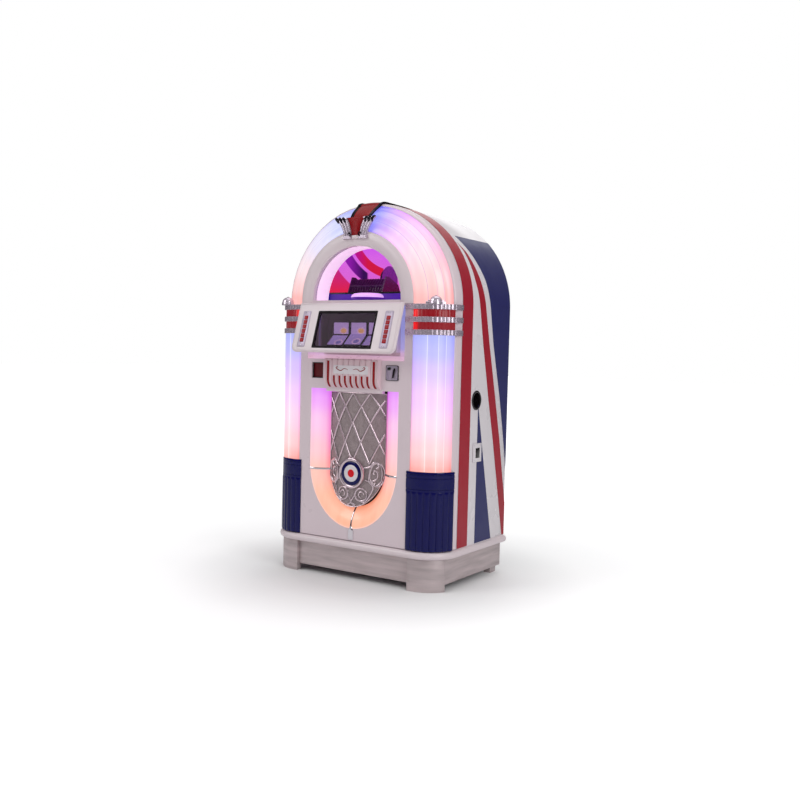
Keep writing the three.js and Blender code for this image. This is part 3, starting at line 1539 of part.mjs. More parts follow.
function discRack() {
  const span = (rackDiscs - 1) * rackPitch;
  const left = rackCentreX - span / 2;
  const end = span / 2 + rackPitch;
  const discs = Array.from({ length: rackDiscs }, (_, k) => discBody(left + k * rackPitch));
  const plates = [-1, 1].map((side) => {
    const x = rackCentreX + side * end;
    const plate = new THREE.Shape();
    const foot = discRadius * rackFootShare;
    plate.moveTo(rackCentreY - foot, deckTop + seat);
    plate.lineTo(rackCentreY + foot, deckTop + seat);
    plate.lineTo(rackCentreY + foot * rackShoulderShare, rackCentreZ + discRadius * rackShoulderRiseShare);
    for (const share of rackPeakShares) plate.lineTo(rackCentreY + foot * share,
      rackCentreZ + discRadius + rackRod);
    return fromSide(plate, x - rackPlate / 2, x + rackPlate / 2);
  });
  const reach = discRadius - rackRod / 2;
  const rods = rackRodTurnShares.map((turn) => barX(rackRod, rackCentreX - end, rackCentreX + end,
    rackCentreY + reach * Math.cos(Math.PI * turn), rackCentreZ + reach * Math.sin(Math.PI * turn),
    pinSides));
  return join(...plates, ...discs, ...rods);
}

function carriageRails() {
  const rails = [-1, 1].map((side) => barX(railRadius, -railHalf, railHalf, railPlace + side * railSpread,
    railHeight,
    barSides));
  const parts = [-1, 1].flatMap((side) => {
    const left = side * railHalf - railBlock / 2;
    const lower = block(left, left + railBlock, railPlace - railWell + seat, railPlace + railWell - seat,
      railHeight - 2 * railRadius, deckTop + weld);
    const upper = block(left, left + railBlock, railPlace - railWell - railBlock / 2,
      railPlace + railWell + railBlock / 2,
      deckTop + seat, deckTop + railBlock / 2);
    return [lower, upper];
  });
  return join(...rails, ...parts);
}

function playerCarriage() {
  const left = carriageX - carriageWidth / 2;
  const right = carriageX + carriageWidth / 2;
  const low = railHeight - carriageHeight / 2;
  const half = railWell - seat - overrun;
  const base = block(left, right, railPlace - half, railPlace + half, low, low + carriageHeight);
  const bores = [-1, 1].map((side) => barX(railBore, left - overrun, right + overrun,
    railPlace + side * railSpread,
    railHeight, barSides));
  const plateShape = new THREE.Shape();
  plateShape.moveTo(railPlace - railSpread, low + carriageHeight - seat);
  plateShape.lineTo(railPlace + railSpread, low + carriageHeight - seat);
  plateShape.absarc(railPlace, carriageDiscHeight, discRadius * carriageHeadShare, -Math.PI / 6,
    Math.PI + Math.PI / 6,
    false);
  const plate = fromSide(plateShape, left, left + carriagePlate);
  const boss = barX(hubRadius, left, left + 2 * carriagePlate, railPlace, carriageDiscHeight);
  const bore = barX(spindleRadius + spindleClear, left - overrun, left + 3 * carriagePlate, railPlace,
    carriageDiscHeight);
  return cut(join(base, plate, boss), ...bores, bore);
}

function discPlatter() {
  const left = carriageX - carriageWidth / 2;
  const face = left + 2 * carriagePlate + seat;
  const hub = barX(hubRadius, face, face + hubThickness, railPlace, carriageDiscHeight);
  const spindle = barX(spindleRadius, left, face + hubThickness, railPlace, carriageDiscHeight, barSides);
  const record = barX(discRadius, face + hubThickness - seat, face + hubThickness + discThickness,
    railPlace,
    carriageDiscHeight, fineRound);
  const clamp = barX(discHole, face + hubThickness, face + 2 * hubThickness, railPlace, carriageDiscHeight);
  return join(hub, spindle, record, clamp);
}

// Backdrop: a quarter dome open to the window
function backdropPanel() {
  const shellOf = (less) => new THREE.SphereGeometry(1, domeSides, domeRows)
    .scale(domeHalf - less, domeDepth - less, domeHeight - less).translate(0, domeFront, deckTop + seat);
  const reach = 2 * domeHalf;
  const front = block(-reach, reach, domeFront - reach, domeFront, deckTop - reach, deckTop + reach);
  const below = block(-reach, reach, domeFront - reach, domeFront + reach, deckTop - reach, deckTop + seat);
  return cut(shellOf(0), shellOf(domeThickness), front, below);
}

// Units on the cabinet floor
function amplifier() {
  const left = -halfWidth + amplifierSide;
  const far = cabinetDepth - amplifierRear;
  const near = far - amplifierDepth;
  const low = floorTop + seat;
  const height = amplifierHeight;
  const body = block(left, left + amplifierWidth, near, far, low, low + height - finHeight);
  const pitch = amplifierWidth / amplifierFins;
  const fins = Array.from({ length: amplifierFins }, (_, k) => {
    const x = left + (k + 0.5) * pitch;
    return block(x - finThickness / 2, x + finThickness / 2, near, far, low, low + height);
  });
  return join(body, ...fins);
}

function cashBoxBody() {
  const right = halfWidth - cashSide;
  const left = right - cashWidth;
  const near = cabinetFront + cashFront;
  const far = near + cashDepth;
  const low = floorTop + seat;
  const height = cashHeight;
  const lidLine = low + height - cashLid;
  const body = block(left, right, near, far, low, low + height);
  const core = block(left + cashGroove, right - cashGroove, near + cashGroove, far - cashGroove, low,
    low + height);
  const ring = block(left - overrun, right + overrun, near - overrun, far + overrun, lidLine - cashGroove,
    lidLine);
  const groove = cut(ring, core);
  const middle = (left + right) / 2;
  const grip = block(middle - cashGrip * 2, middle + cashGrip * 2, near - cashGrip / 2, near + seat,
    low + height / 2 - cashGrip / 2, low + height / 2 + cashGrip / 2);
  return join(cut(body, groove), grip);
}

// Hinges: a door barrel between two cabinet barrels at each height
const hingeX = -(halfWidth + hingeOffset);

function hingeBarrel(low, high) {
  return cut(barZ(hingeRadius, low, high, hingeX, doorDepth + seat, barSides),
    barZ(hingePin + hingePinClear, low - overrun, high + overrun, hingeX, doorDepth + seat, barSides));
}

function hingeBore(low, high) {
  return barZ(hingePin + hingePinClear, low - overrun, high + overrun, hingeX, doorDepth + seat, barSides);
}

const knuckle = hingeLength / hingeKnuckles;
const hingeHigh = hingeLow + hingeLength;

function doorHinge() {
  const leaf = block(-halfWidth - seat - hingeLeaf, -halfWidth - seat, doorDepth - hingeLeafReach,
    doorDepth - seat,
    hingeLow, hingeHigh);
  const parts = Array.from({ length: (hingeKnuckles - 1) / 2 }, (_, k) => {
    const low = hingeLow + (2 * k + 1) * knuckle + seat;
    const high = low + knuckle - 2 * seat;
    const web = block(hingeX, -halfWidth - seat - hingeLeaf / 2, doorDepth - hingeRadius,
      doorDepth - hingeRadius + 2 * hingeLeaf, low, high);
    return cut(join(hingeBarrel(low, high), web), hingeBore(low, high));
  });
  return join(leaf, ...parts);
}

function cabinetHinge() {
  const leaf = block(-halfWidth - seat - hingeLeaf, -halfWidth - seat, cabinetFront + seat,
    cabinetFront + hingeLeafReach, hingeLow, hingeHigh);
  const parts = Array.from({ length: (hingeKnuckles + 1) / 2 }, (_, k) => {
    const low = hingeLow + 2 * k * knuckle;
    const high = low + knuckle;
    const web = block(hingeX, -halfWidth - seat - hingeLeaf / 2, cabinetFront - hingeLeaf,
      cabinetFront + hingeLeaf,
      low, high);
    return join(barZ(hingeRadius, low, high, hingeX, doorDepth + seat, barSides), web);
  });
  const pin = barZ(hingePin, hingeLow + weld, hingeHigh - weld, hingeX, doorDepth + seat, barSides);
  return join(leaf, ...parts, pin);
}

// Assembly
const jukebox = new THREE.Group();
const cabinet = new THREE.Group();
const door = new THREE.Group();
const face = new THREE.Group();
face.rotation.x = faceAngle;
face.position.set(0, -hoodBottomReach, hoodBottom);
door.add(face);
jukebox.add(cabinet, door);

function add(group, name, piece, material) {
  const geometry = piece.isBufferGeometry ? piece : toGeometry(piece);
  const mesh = new THREE.Mesh(geometry, material);
  mesh.name = name;
  group.add(mesh);
  return mesh;
}

add(cabinet, 'cabinet_shell', cabinetShell(), white);
add(cabinet, 'back_panel', backPanel(), black);
add(cabinet, 'base_moulding', baseMoulding(), white);
add(cabinet, 'plinth_front_panel', plinthFront(), brushed);
add(cabinet, 'plinth_skirt', plinthSkirt(), brushed);
add(cabinet, 'front_foot_right', frontFoot(), brushed);
add(cabinet, 'front_foot_left', mirrored(frontFoot()), brushed);
add(cabinet, 'lock_cup', lockCup(), black);
add(cabinet, 'lock_cylinder', lockCylinder(), chrome);
add(cabinet, 'side_tag_plate', sideTag(), white);
add(cabinet, 'mechanism_deck', mechanismDeck(), purple);
add(cabinet, 'disc_rack', discRack(), disc);
add(cabinet, 'carriage_rails', carriageRails(), steel);
add(cabinet, 'player_carriage', playerCarriage(), black);
add(cabinet, 'disc_platter', discPlatter(), disc);
add(cabinet, 'backdrop_panel', backdropPanel(), glow);
add(cabinet, 'amplifier', amplifier(), black);
add(cabinet, 'cash_box', cashBoxBody(), steel);
add(cabinet, 'cabinet_hinge', cabinetHinge(), chrome);

add(door, 'door_frame', doorFrame(), white);
add(door, 'window_glass', windowGlass(), glass);
add(door, 'arch_light', archLight(), glow);
add(door, 'column_light_right', columnLight(), glow);
add(door, 'column_light_left', mirrored(columnLight()), glow);
const sided = { boot: [boot(), navy], band_set: [bandSet(), chrome], red_band: [redBand(), red],
  pylon: [pylon(), chrome] };
for (const [name, [solid, material]] of Object.entries(sided)) {
  add(door, `${name}_right`, solid, material);
  add(door, `${name}_left`, mirrored(solid), material);
}
const saddle = crownStrip(saddleInnerLift, saddleOuterLift, saddleHalf, -saddleHalf);
const rail = crownStrip(saddleInnerLift, railLift, saddleHalf + railWidth, saddleHalf - weld, 3);
add(door, 'crown_saddle', join(saddle, rail, mirrored(rail)), red);
add(door, 'console_housing', consoleHousing(), white);
add(door, 'title_rack', titleRack(), card);
add(door, 'title_page', titlePage(), card);
add(door, 'selector_panel', selectorPanel(), white);
add(door, 'coin_return_cup', coinReturnCup(), black);
add(door, 'coin_return_flap', coinReturnFlap(), red);
add(door, 'coin_bezel', coinBezel(), silver);
add(door, 'reject_button', rejectButton(), black);
add(door, 'u_light', uLight(), warmGlow);
add(door, 'grille_mesh', grilleMesh(), cloth);
add(door, 'grille_lattice', grilleLattice(), chrome);
add(door, 'medallion', medallion(), chrome);
add(door, 'speaker', speaker(), black);
add(door, 'door_hinge', doorHinge(), chrome);

add(face, 'display_window', displayWindow(), glass);
for (const [name, side] of [['left', -1], ['right', 1]]) {
  for (let k = 0; k < keysPerPlate; k += 1) {
    const cap = add(face, `key_${name}_${k + 1}`, key(), red);
    cap.position.set(side * keyPlateX, keyLow() + (keysPerPlate - 1 - k) * keyPitch, 0);
  }
}

jukebox.position.y = -(cabinetDepth - hoodBottomReach) / 2;

export default jukebox;
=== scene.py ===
"""Arched jukebox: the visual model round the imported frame.

Lengths in the helpers are millimetres in the door's own axes: the front plane is y = 0.
"""
import bmesh
import bpy
import math
from mathutils import Matrix, Vector


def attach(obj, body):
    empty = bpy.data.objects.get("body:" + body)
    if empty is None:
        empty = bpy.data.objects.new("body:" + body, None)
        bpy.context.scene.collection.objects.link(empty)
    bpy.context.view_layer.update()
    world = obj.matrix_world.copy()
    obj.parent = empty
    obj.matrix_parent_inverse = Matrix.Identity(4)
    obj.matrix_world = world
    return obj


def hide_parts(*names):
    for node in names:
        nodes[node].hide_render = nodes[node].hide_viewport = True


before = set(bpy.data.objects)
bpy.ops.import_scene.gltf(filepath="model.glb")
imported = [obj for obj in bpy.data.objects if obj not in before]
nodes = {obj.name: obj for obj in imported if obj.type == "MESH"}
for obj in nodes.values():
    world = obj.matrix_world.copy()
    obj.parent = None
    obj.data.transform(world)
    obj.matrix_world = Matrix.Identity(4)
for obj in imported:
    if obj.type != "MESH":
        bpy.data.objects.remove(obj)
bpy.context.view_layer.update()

PI = math.pi
MM = 0.001
DOOR_TO_FRAME = -217.0
HANDS = ((1, "right"), (-1, "left"))
ARCH_Z, ARCH_DROP, ARCH_FLAT = 1112.0, 14.0, 0.01
LENS_IN, LENS_OUT, LENS_DEEP = 270.3, 396.0, 84.3
SMOOTH_ANGLE = 35


# Shape tools
def place(x, y, z):
    return Vector((x * MM, (y + DOOR_TO_FRAME) * MM, z * MM))


def span(first, last, steps):
    """Evenly spaced values from first to last, both included."""
    return [first + (last - first) * k / steps for k in range(steps + 1)]


def clamp(value):
    return min(max(value, 0.0), 1.0)


def loft(rings, loop=False):
    """Faces between rows of points; loop joins the last row to the first instead of closing both ends."""
    size, rows = len(rings[0]), len(rings)
    faces = []
    for k in range(rows if loop else rows - 1):
        a, b = k * size, ((k + 1) % rows) * size
        faces += [(a + i, a + j, b + j, b + i) for i, j in ((i, (i + 1) % size) for i in range(size))]
    if not loop:
        faces.append(tuple(range(size))[::-1])
        faces.append(tuple(range((rows - 1) * size, rows * size)))
    return [p for ring in rings for p in ring], faces


def merge(*parts):
    verts, faces = [], []
    for points, polys in parts:
        base = len(verts)
        verts += list(points)
        faces += [tuple(i + base for i in poly) for poly in polys]
    return verts, faces


def moved(part, rule):
    return [rule(*p) for p in part[0]], part[1]


def mirror(part):
    return moved(part, lambda x, y, z: (-x, y, z))


def front(outline, near, far):
    return loft([[(x, y, z) for x, z in outline] for y in (near, far)])


def above(outline, low, high):
    return loft([[(x, y, z) for x, y in outline] for z in (low, high)])


def side(outline, left, right):
    return loft([[(x, y, z) for y, z in outline] for x in (left, right)])


def block(left, right, near, far, low, high):
    return front([(left, low), (right, low), (right, high), (left, high)], near, far)


def arc(cx, cy, rx, ry, a0, a1, steps):
    return [(cx + rx * math.cos(a), cy + ry * math.sin(a)) for a in span(a0, a1, steps)]


def rounded(x0, x1, z0, z1, r, steps=6, top=True):
    """A rectangle with round corners; without top its upper corners stay square."""
    points = arc(x0 + r, z0 + r, r, r, PI, 1.5 * PI, steps)
    points += arc(x1 - r, z0 + r, r, r, 1.5 * PI, 2 * PI, steps)
    if not top:
        return points + [(x1, z1), (x0, z1)]
    points += arc(x1 - r, z1 - r, r, r, 0, PI / 2, steps)
    return points + arc(x0 + r, z1 - r, r, r, PI / 2, PI, steps)


def lathe(profile, centre, axis, steps=48):
    """Turns (radius, height) points round an axis 'x', 'y' or 'z' through the centre."""
    rings = []
    for r, h in profile:
        ring = []
        for u, v in arc(0, 0, r, r, 0, 2 * PI, steps)[:-1]:
            offset = {"x": (h, u, v), "y": (u, h, v), "z": (u, v, h)}[axis]
            ring.append(tuple(c + d for c, d in zip(centre, offset)))
        rings.append(ring)
    return loft(rings)


def tube(path, radius, sides=10, closed=False, flat=1.0):
    """A bar along a path; radius is a number or a rule of the share along it, flat squeezes it."""
    points = [Vector(p) for p in path]
    count = len(points)
    rings = []
    lift = Vector((0, -1, 0))
    for k, p in enumerate(points):
        after = points[(k + 1) % count] if closed else points[min(k + 1, count - 1)]
        before = points[k - 1] if closed else points[max(k - 1, 0)]
        along = (after - before).normalized()
        if abs(along.dot(lift)) > 0.95:
            lift = Vector((0, 0, 1))
        across = along.cross(lift).normalized()
        out = across.cross(along).normalized()
        r = radius(k / max(count - 1, 1)) if callable(radius) else radius
        circle = arc(0, 0, r, r * flat, 0, 2 * PI, sides)[:-1]
        rings.append([tuple(p + across * u + out * v) for u, v in circle])
    return loft(rings, loop=closed)


def spline(points, steps=6):
    """A smooth curve through control points."""
    out = []
    last = len(points) - 1
    for k in range(last):
        p0, p1, p2, p3 = (Vector(points[max(0, min(last, k + i))]) for i in (-1, 0, 1, 2))
        for t in span(0, 1, steps)[:-1]:
            out.append(0.5 * ((2 * p1) + (p2 - p0) * t + (2 * p0 - 5 * p1 + 4 * p2 - p3) * t * t
                              + (3 * p1 - p0 - 3 * p2 + p3) * t ** 3))
    out.append(Vector(points[-1]))
    return [tuple(p) for p in out]


def swell(low, more):
    """A rule for a tube that is thickest halfway."""
    return lambda share: low + more * math.sin(PI * share)


def outer_share(r):
    return clamp((r - LENS_IN) / (LENS_OUT - LENS_IN))


def arch_base(r):
    """Height of the arch's centre: the outer rings are centred lower than the window."""
    return ARCH_Z - ARCH_DROP * outer_share(r)


def arch_point(r, a):
    return r * math.cos(a), arch_base(r) + r * (1 - ARCH_FLAT * outer_share(r)) * math.sin(a)


def arch_ring(section, a):
    """A (radius, y) section stood on the arch at an angle."""
    return [(x, y, z) for y, (x, z) in ((y, arch_point(r, a)) for r, y in section)]


def arch_sweep(section, bottom, steps=96, legs=1):
    """Carries (radius, y) points up one leg, over the arch and down the other."""
    def leg(hand, k):
        return [(hand * r, y, bottom + (arch_base(r) - bottom) * k / legs) for r, y in section]
    rings = [leg(1, k) for k in range(legs)] + [arch_ring(section, a) for a in span(0, PI, steps)]
    return loft(rings + [leg(-1, k) for k in reversed(range(legs))])


# Objects
def link(name, data):
    made = bpy.data.objects.new(name, data)
    bpy.context.scene.collection.objects.link(made)
    return made


def plain_mesh(name, points, faces):
    mesh = bpy.data.meshes.new(name)
    mesh.from_pydata(points, [], faces)
    return mesh


def smooth(mesh, angle=SMOOTH_ANGLE):
    mesh.shade_smooth()
    mesh.set_sharp_from_angle(angle=math.radians(angle))


def piece(name, part, mat, stands_for=None, body="door", bevel=0.0, segments=2, angle=SMOOTH_ANGLE, uv=None):
    """One object from a part; it rides on a body and may stand for a CAD node."""
    mesh = plain_mesh(name, [place(*p) for p in part[0]], part[1])
    if uv:
        layer = mesh.uv_layers.new(name="UVMap")
        for loop in mesh.loops:
            layer.data[loop.index].uv = uv(*part[0][loop.vertex_index])
    bm = bmesh.new()
    bm.from_mesh(mesh)
    bmesh.ops.remove_doubles(bm, verts=bm.verts, dist=0.02 * MM)
    bmesh.ops.dissolve_degenerate(bm, dist=0.01 * MM, edges=bm.edges)
    bmesh.ops.recalc_face_normals(bm, faces=bm.faces)
    if bevel:
        sharp = [e for e in bm.edges if len(e.link_faces) == 2 and e.calc_face_angle(0) > math.radians(angle)]
        bmesh.ops.bevel(bm, geom=sharp, offset=bevel * MM, segments=segments, profile=0.5,
                        affect="EDGES", clamp_overlap=True)
    bm.to_mesh(mesh)
    bm.free()
    smooth(mesh, angle)
    mesh.materials.append(mat)
    made = link(name, mesh)
    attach(made, body)
    if stands_for:
        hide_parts(stands_for)
    return made


def pair(name, part, mat, stands_for="", **how):
    """A right piece and its mirror image; {} in a name takes the word right or left."""
    for hand, word in HANDS:
        piece(name.format(word), part if hand > 0 else mirror(part), mat, stands_for.format(word), **how)


def carve(target, *cutters):
    """Cuts helper parts out of an object and keeps the plain result."""
    for points, faces in cutters:
        mesh = plain_mesh("cutter", [place(*p) for p in points], faces)
        bm = bmesh.new()
        bm.from_mesh(mesh)
        bmesh.ops.recalc_face_normals(bm, faces=bm.faces)
        bm.to_mesh(mesh)
        bm.free()
        tool = link("cutter", mesh)
        change = target.modifiers.new("cut", "BOOLEAN")
        change.object, change.operation, change.solver = tool, "DIFFERENCE", "EXACT"
        bpy.context.view_layer.update()
        graph = bpy.context.evaluated_depsgraph_get()
        result = bpy.data.meshes.new_from_object(target.evaluated_get(graph))
        target.modifiers.clear()
        target.data = result
        bpy.data.objects.remove(tool)
    smooth(target.data)


def dress(name, mat, angle=SMOOTH_ANGLE, bevel=0.0):
    """Gives a CAD node its material and smooth faces."""
    obj = nodes[name]
    obj.data.materials.clear()
    obj.data.materials.append(mat)
    obj.modifiers.new("weld", "WELD").merge_threshold = 0.01 * MM
    obj.data.shade_smooth()
    if bevel:
        soft = obj.modifiers.new("bevel", "BEVEL")
        soft.width, soft.segments, soft.limit_method = bevel * MM, 2, "ANGLE"
        soft.angle_limit = math.radians(50)
    obj.modifiers.new("edges", "EDGE_SPLIT").split_angle = math.radians(angle)


# Materials
EVEN = (1, 1, 1)


def tone(color):
    """A colour from a grey of 0 to 1, from three screen values of 0 to 255, or as it is with its alpha."""
    if isinstance(color, (int, float)):
        return (color, color, color, 1.0)
    if len(color) == 4:
        return color

    def linear(c):
        c /= 255.0
        return c / 12.92 if c <= 0.04045 else ((c + 0.055) / 1.055) ** 2.4
    return (*map(linear, color), 1.0)


class Look:
    """Short words for the nodes of one shader tree."""

    def __init__(self, tree):
        self.tree = tree

    def feed(self, socket, value):
        if isinstance(value, bpy.types.NodeSocket):
            self.tree.links.new(value, socket)
        else:
            socket.default_value = value

    def node(self, kind, inputs=None, **props):
        made = self.tree.nodes.new("ShaderNode" + kind)
        for key, value in props.items():
            setattr(made, key, value)
        for key, value in (inputs or {}).items():
            self.feed(made.inputs[key], value)
        return made

    def calc(self, kind, a, b=0.0):
        return self.node("Math", {0: a, 1: b}, operation=kind).outputs[0]

    def add(self, a, b):
        return self.calc("ADD", a, b)

    def less(self, a, b):
        return self.calc("SUBTRACT", a, b)

    def times(self, a, b):
        return self.calc("MULTIPLY", a, b)

    def length(self, a, b):
        return self.calc("SQRT", self.add(self.times(a, a), self.times(b, b)))

    def split(self, vector):
        return self.node("SeparateXYZ", {"Vector": vector}).outputs

    def coords(self, stretch=EVEN):
        where = self.node("TexCoord").outputs["Object"]
        return self.node("Mapping", {"Vector": where, "Scale": stretch}).outputs["Vector"]

    def noise(self, scale, detail=3.0, stretch=EVEN):
        return self.node("TexNoise", {"Vector": self.coords(stretch), "Scale": scale,
                                      "Detail": detail}).outputs["Fac"]

    def drift(self, scale, amount, detail=3.0):
        """A soft unevenness round zero."""
        return self.times(self.less(self.noise(scale, detail), 0.5), amount)

    def remap(self, value, low, high, first=0.0, last=1.0):
        return self.node("MapRange", {"Value": value, "From Min": low, "From Max": high,
                                      "To Min": first, "To Max": last}).outputs["Result"]

    def varied(self, noise, low, high):
        return self.remap(noise, 0.3, 0.7, low, high)

    def mix(self, fac, first, second):
        first, second = (c if isinstance(c, bpy.types.NodeSocket) else tone(c) for c in (first, second))
        return self.node("Mix", {0: fac, 6: first, 7: second}, data_type="RGBA").outputs[2]

    def ramp(self, fac, stops, mode="LINEAR"):
        made = self.node("ValToRGB", {"Fac": fac})
        band = made.color_ramp
        band.interpolation = mode
        band.elements.remove(band.elements[-1])
        band.elements[0].position, band.elements[0].color = stops[0][0], tone(stops[0][1])
        for position, color in stops[1:]:
            band.elements.new(position).color = tone(color)
        return made.outputs["Color"]


class Finish(Look):
    """A material whose sockets are filled by name."""

    def __init__(self, name):
        self.mat = bpy.data.materials.new(name)
        self.mat.use_nodes = True
        super().__init__(self.mat.node_tree)
        self.shader = self.tree.nodes["Principled BSDF"]

    def wear(self, sockets):
        for key, value in sockets.items():
            self.feed(self.shader.inputs[key], value)
        return self.mat

    def shine(self, lit, power, body, rough):
        """Lit from within: the body keeps a share of the light's own colour."""
        return self.wear({"Base Color": self.mix(body, 0.0, lit), "Emission Color": lit,
                          "Emission Strength": power, "Roughness": rough})

    def relief(self, height, strength, depth):
        bump = self.node("Bump", {"Height": height, "Strength": strength, "Distance": depth})
        self.wear({"Normal": bump.outputs["Normal"]})


def surface(name, color, rough, metal=0.0, coat=0.0, shade=0.8, patch=20.0, bump=0.01, fine=600.0,
            stretch=EVEN, spread=0.06, glow=None, power=0.0, spec=0.5):
    """A finish with soft colour patches, uneven gloss and a fine relief; a glow adds painted light given off
    by it.
    """
    look = Finish(name)
    dark = (*(c * shade for c in tone(color)[:3]), 1.0)
    gloss = look.varied(look.noise(patch * 3, 3.0, stretch), max(rough - spread, 0.03), rough + spread)
    look.wear({"Base Color": look.mix(look.noise(patch, 4.0, stretch), dark, color), "Roughness": gloss,
               "Metallic": metal, "Coat Weight": coat, "Coat Roughness": 0.06, "Specular IOR Level": spec})
    # Painted light: the glow colour is given off as emission.
    if glow:
        look.wear({"Emission Color": tone(glow), "Emission Strength": power})
    look.relief(look.noise(fine, 2.0, stretch), bump, 0.0005)
    return look.mat


def lens(name, core, rim, across, seams, seam_tone=1.0, power=0.9):
    """A lit frosted lens: core and rim colours run along it (v), and the way across (u) blends them."""
    look = Finish(name)
    place_uv = look.split(look.node("TexCoord").outputs["UV"])
    streak = look.noise(36.0, 3.0, (1.0, 1.0, 0.05))
    along = look.add(place_uv["Y"], look.drift(5.0, 0.07, 2.0))
    pale = look.node("RGBToBW", {"Color": look.ramp(place_uv["X"], across, "EASE")}).outputs[0]
    fac = look.times(pale, look.varied(streak, 0.86, 1.1))
    lit = look.mix(fac, look.ramp(along, rim, "EASE"), look.ramp(along, core, "EASE"))
    for middle, width in seams:
        near = look.calc("ABSOLUTE", look.less(place_uv["X"], middle))
        lit = look.mix(look.remap(near, width, width * 0.25, 0.0, 0.55), lit, seam_tone)
    look.wear({"Coat Weight": 0.35, "Coat Roughness": 0.1})
    return look.shine(lit, power, 0.2, look.varied(streak, 0.28, 0.4))


def split_glow(name, axis, low, high, stops, power, body=0.5):
    """A smooth panel that picks up coloured light along one axis."""
    look = Finish(name)
    value = look.split(look.coords())[axis]
    if axis == "X":
        value = look.calc("ABSOLUTE", value)
    soft = look.add(look.remap(value, low, high), look.drift(9.0, 0.15))
    return look.shine(look.ramp(soft, stops, "EASE"), power, body, look.varied(look.noise(30.0), 0.26, 0.38))


def disc_finish():
    """Fine rings on a mirror disc in a coloured light."""
    look = Finish("disc_mirror")
    rings = look.noise(260.0, 2.0, (0.1, 1, 1))
    color = look.ramp(rings, [(0.35, (96, 60, 120)), (0.5, (150, 110, 170)), (0.65, (84, 70, 130))])
    return look.wear({"Base Color": color, "Metallic": 0.9, "Emission Color": tone((120, 30, 90)),
                      "Emission Strength": 0.1, "Roughness": look.varied(rings, 0.14, 0.3)})


def glass_finish(name, tint, weight):
    """Clear pane: mostly see-through, with a soft reflection at a grazing angle."""
    look = Finish(name)
    look.tree.nodes.remove(look.shader)
    clear = look.node("BsdfTransparent", {"Color": tint})
    rough = look.varied(look.noise(12.0), 0.02, 0.06)
    gloss = look.node("BsdfGlossy", {"Color": tone(1.0), "Roughness": rough})
    fac = look.times(look.node("Fresnel", {"IOR": 1.45}).outputs[0], weight)
    both = look.node("MixShader", {0: fac, 1: clear.outputs[0], 2: gloss.outputs[0]})
    look.feed(look.tree.nodes["Material Output"].inputs["Surface"], both.outputs[0])
    return look.mat


def mesh_finish():
    """Fine diagonal weave: small dark openings between pale wires."""
    look = Finish("woven_screen")
    where = look.split(look.coords())
    slants = (look.add(where["X"], where["Z"]), look.less(where["X"], where["Z"]))
    weave = look.times(*(look.calc("SINE", look.times(slant, 900.0)) for slant in slants))
    hole = look.ramp(look.add(weave, look.drift(90.0, 0.7)), [(0.0, 1.0), (0.3, 0.0)])
    wire = look.mix(look.noise(14.0), (178, 160, 162), (206, 188, 190))
    look.relief(hole, 0.3, 0.001)
    return look.wear({"Base Color": look.mix(hole, (34, 28, 30), wire), "Metallic": 0.3,
                      "Roughness": look.varied(look.noise(60.0), 0.4, 0.55)})


def backdrop_finish():
    """A lit panel printed with plain curved bands round one centre."""
    look = Finish("backdrop_glow")
    where = look.coords()
    dot = look.node("VectorMath", {0: where, 1: (0.8363, 0.5483, 0.0)}, operation="DOT_PRODUCT")
    across = look.add(dot.outputs["Value"], 0.119)
    height = look.split(where)["Z"]
    away = look.length(look.less(across, 0.149), look.less(height, 1.432))

    def between(value, low, high, soft):
        rise = look.remap(value, low - soft, low + soft)
        return look.times(rise, look.remap(value, high + soft, high - soft))

    def run(value, low, high, first, last):
        return look.mix(look.remap(value, low, high), first, last)
    ground = run(height, 1.2, 1.36, (238, 96, 214), (222, 96, 250))
    lit = look.mix(look.varied(look.noise(7.0), 0.0, 0.35), ground, (250, 150, 246))
    bands = ((0.168, 0.203, 0.1, run(across, -0.05, 0.03, (176, 0, 176), (226, 22, 66))),
             (0.216, 0.254, 0.03, run(across, -0.05, 0.01, (150, 24, 176), (56, 8, 84))))
    for inner, outer, end, color in bands:
        spot = look.times(between(away, inner, outer, 0.0015), between(across, -0.5, end, 0.004))
        lit = look.mix(spot, lit, color)
    edge = run(height, 1.16, 1.25, (246, 36, 66), (214, 40, 130))
    lit = look.mix(between(away, 0.3, 1.0, 0.002), lit, edge)
    return look.shine(lit, 0.8, 0.3, 0.4)


def glowing_card(name, base, motif, leaf=False):
    """A printed card glowing as painted light: pale ground, a soft round motif and fine rules, with no words.
    """
    look = Finish(name)
    uv = look.node("TexCoord").outputs["UV"]
    if leaf:
        flat = look.split(look.coords())
        uv = look.node("CombineXYZ", {"X": look.times(look.add(flat["X"], 0.036), 1 / 0.072),
                                      "Y": look.times(look.less(flat["Z"], 0.938), 1 / 0.041)}).outputs[0]
    place_uv = look.split(uv)
    away = look.length(look.less(place_uv["X"], 0.66), look.less(place_uv["Y"], 0.3))
    disc = look.ramp(away, [(0.16, motif), (0.24, (236, 234, 240)), (0.3, base), (0.5, base)])
    rules = look.calc("GREATER_THAN", look.calc("SINE", look.times(place_uv["Y"], 56.0)), 0.7)
    printed = look.mix(look.times(rules, 0.35), disc, (110, 104, 130))
    final = look.mix(0.75, look.mix(look.noise(40.0), (150, 146, 176), printed), printed)
    # Painted light: the printed colours are given off as a strong glow, as if lit from behind.
    return look.wear({"Base Color": final, "Emission Color": final, "Emission Strength": 3.2,
                      "Roughness": 0.4})


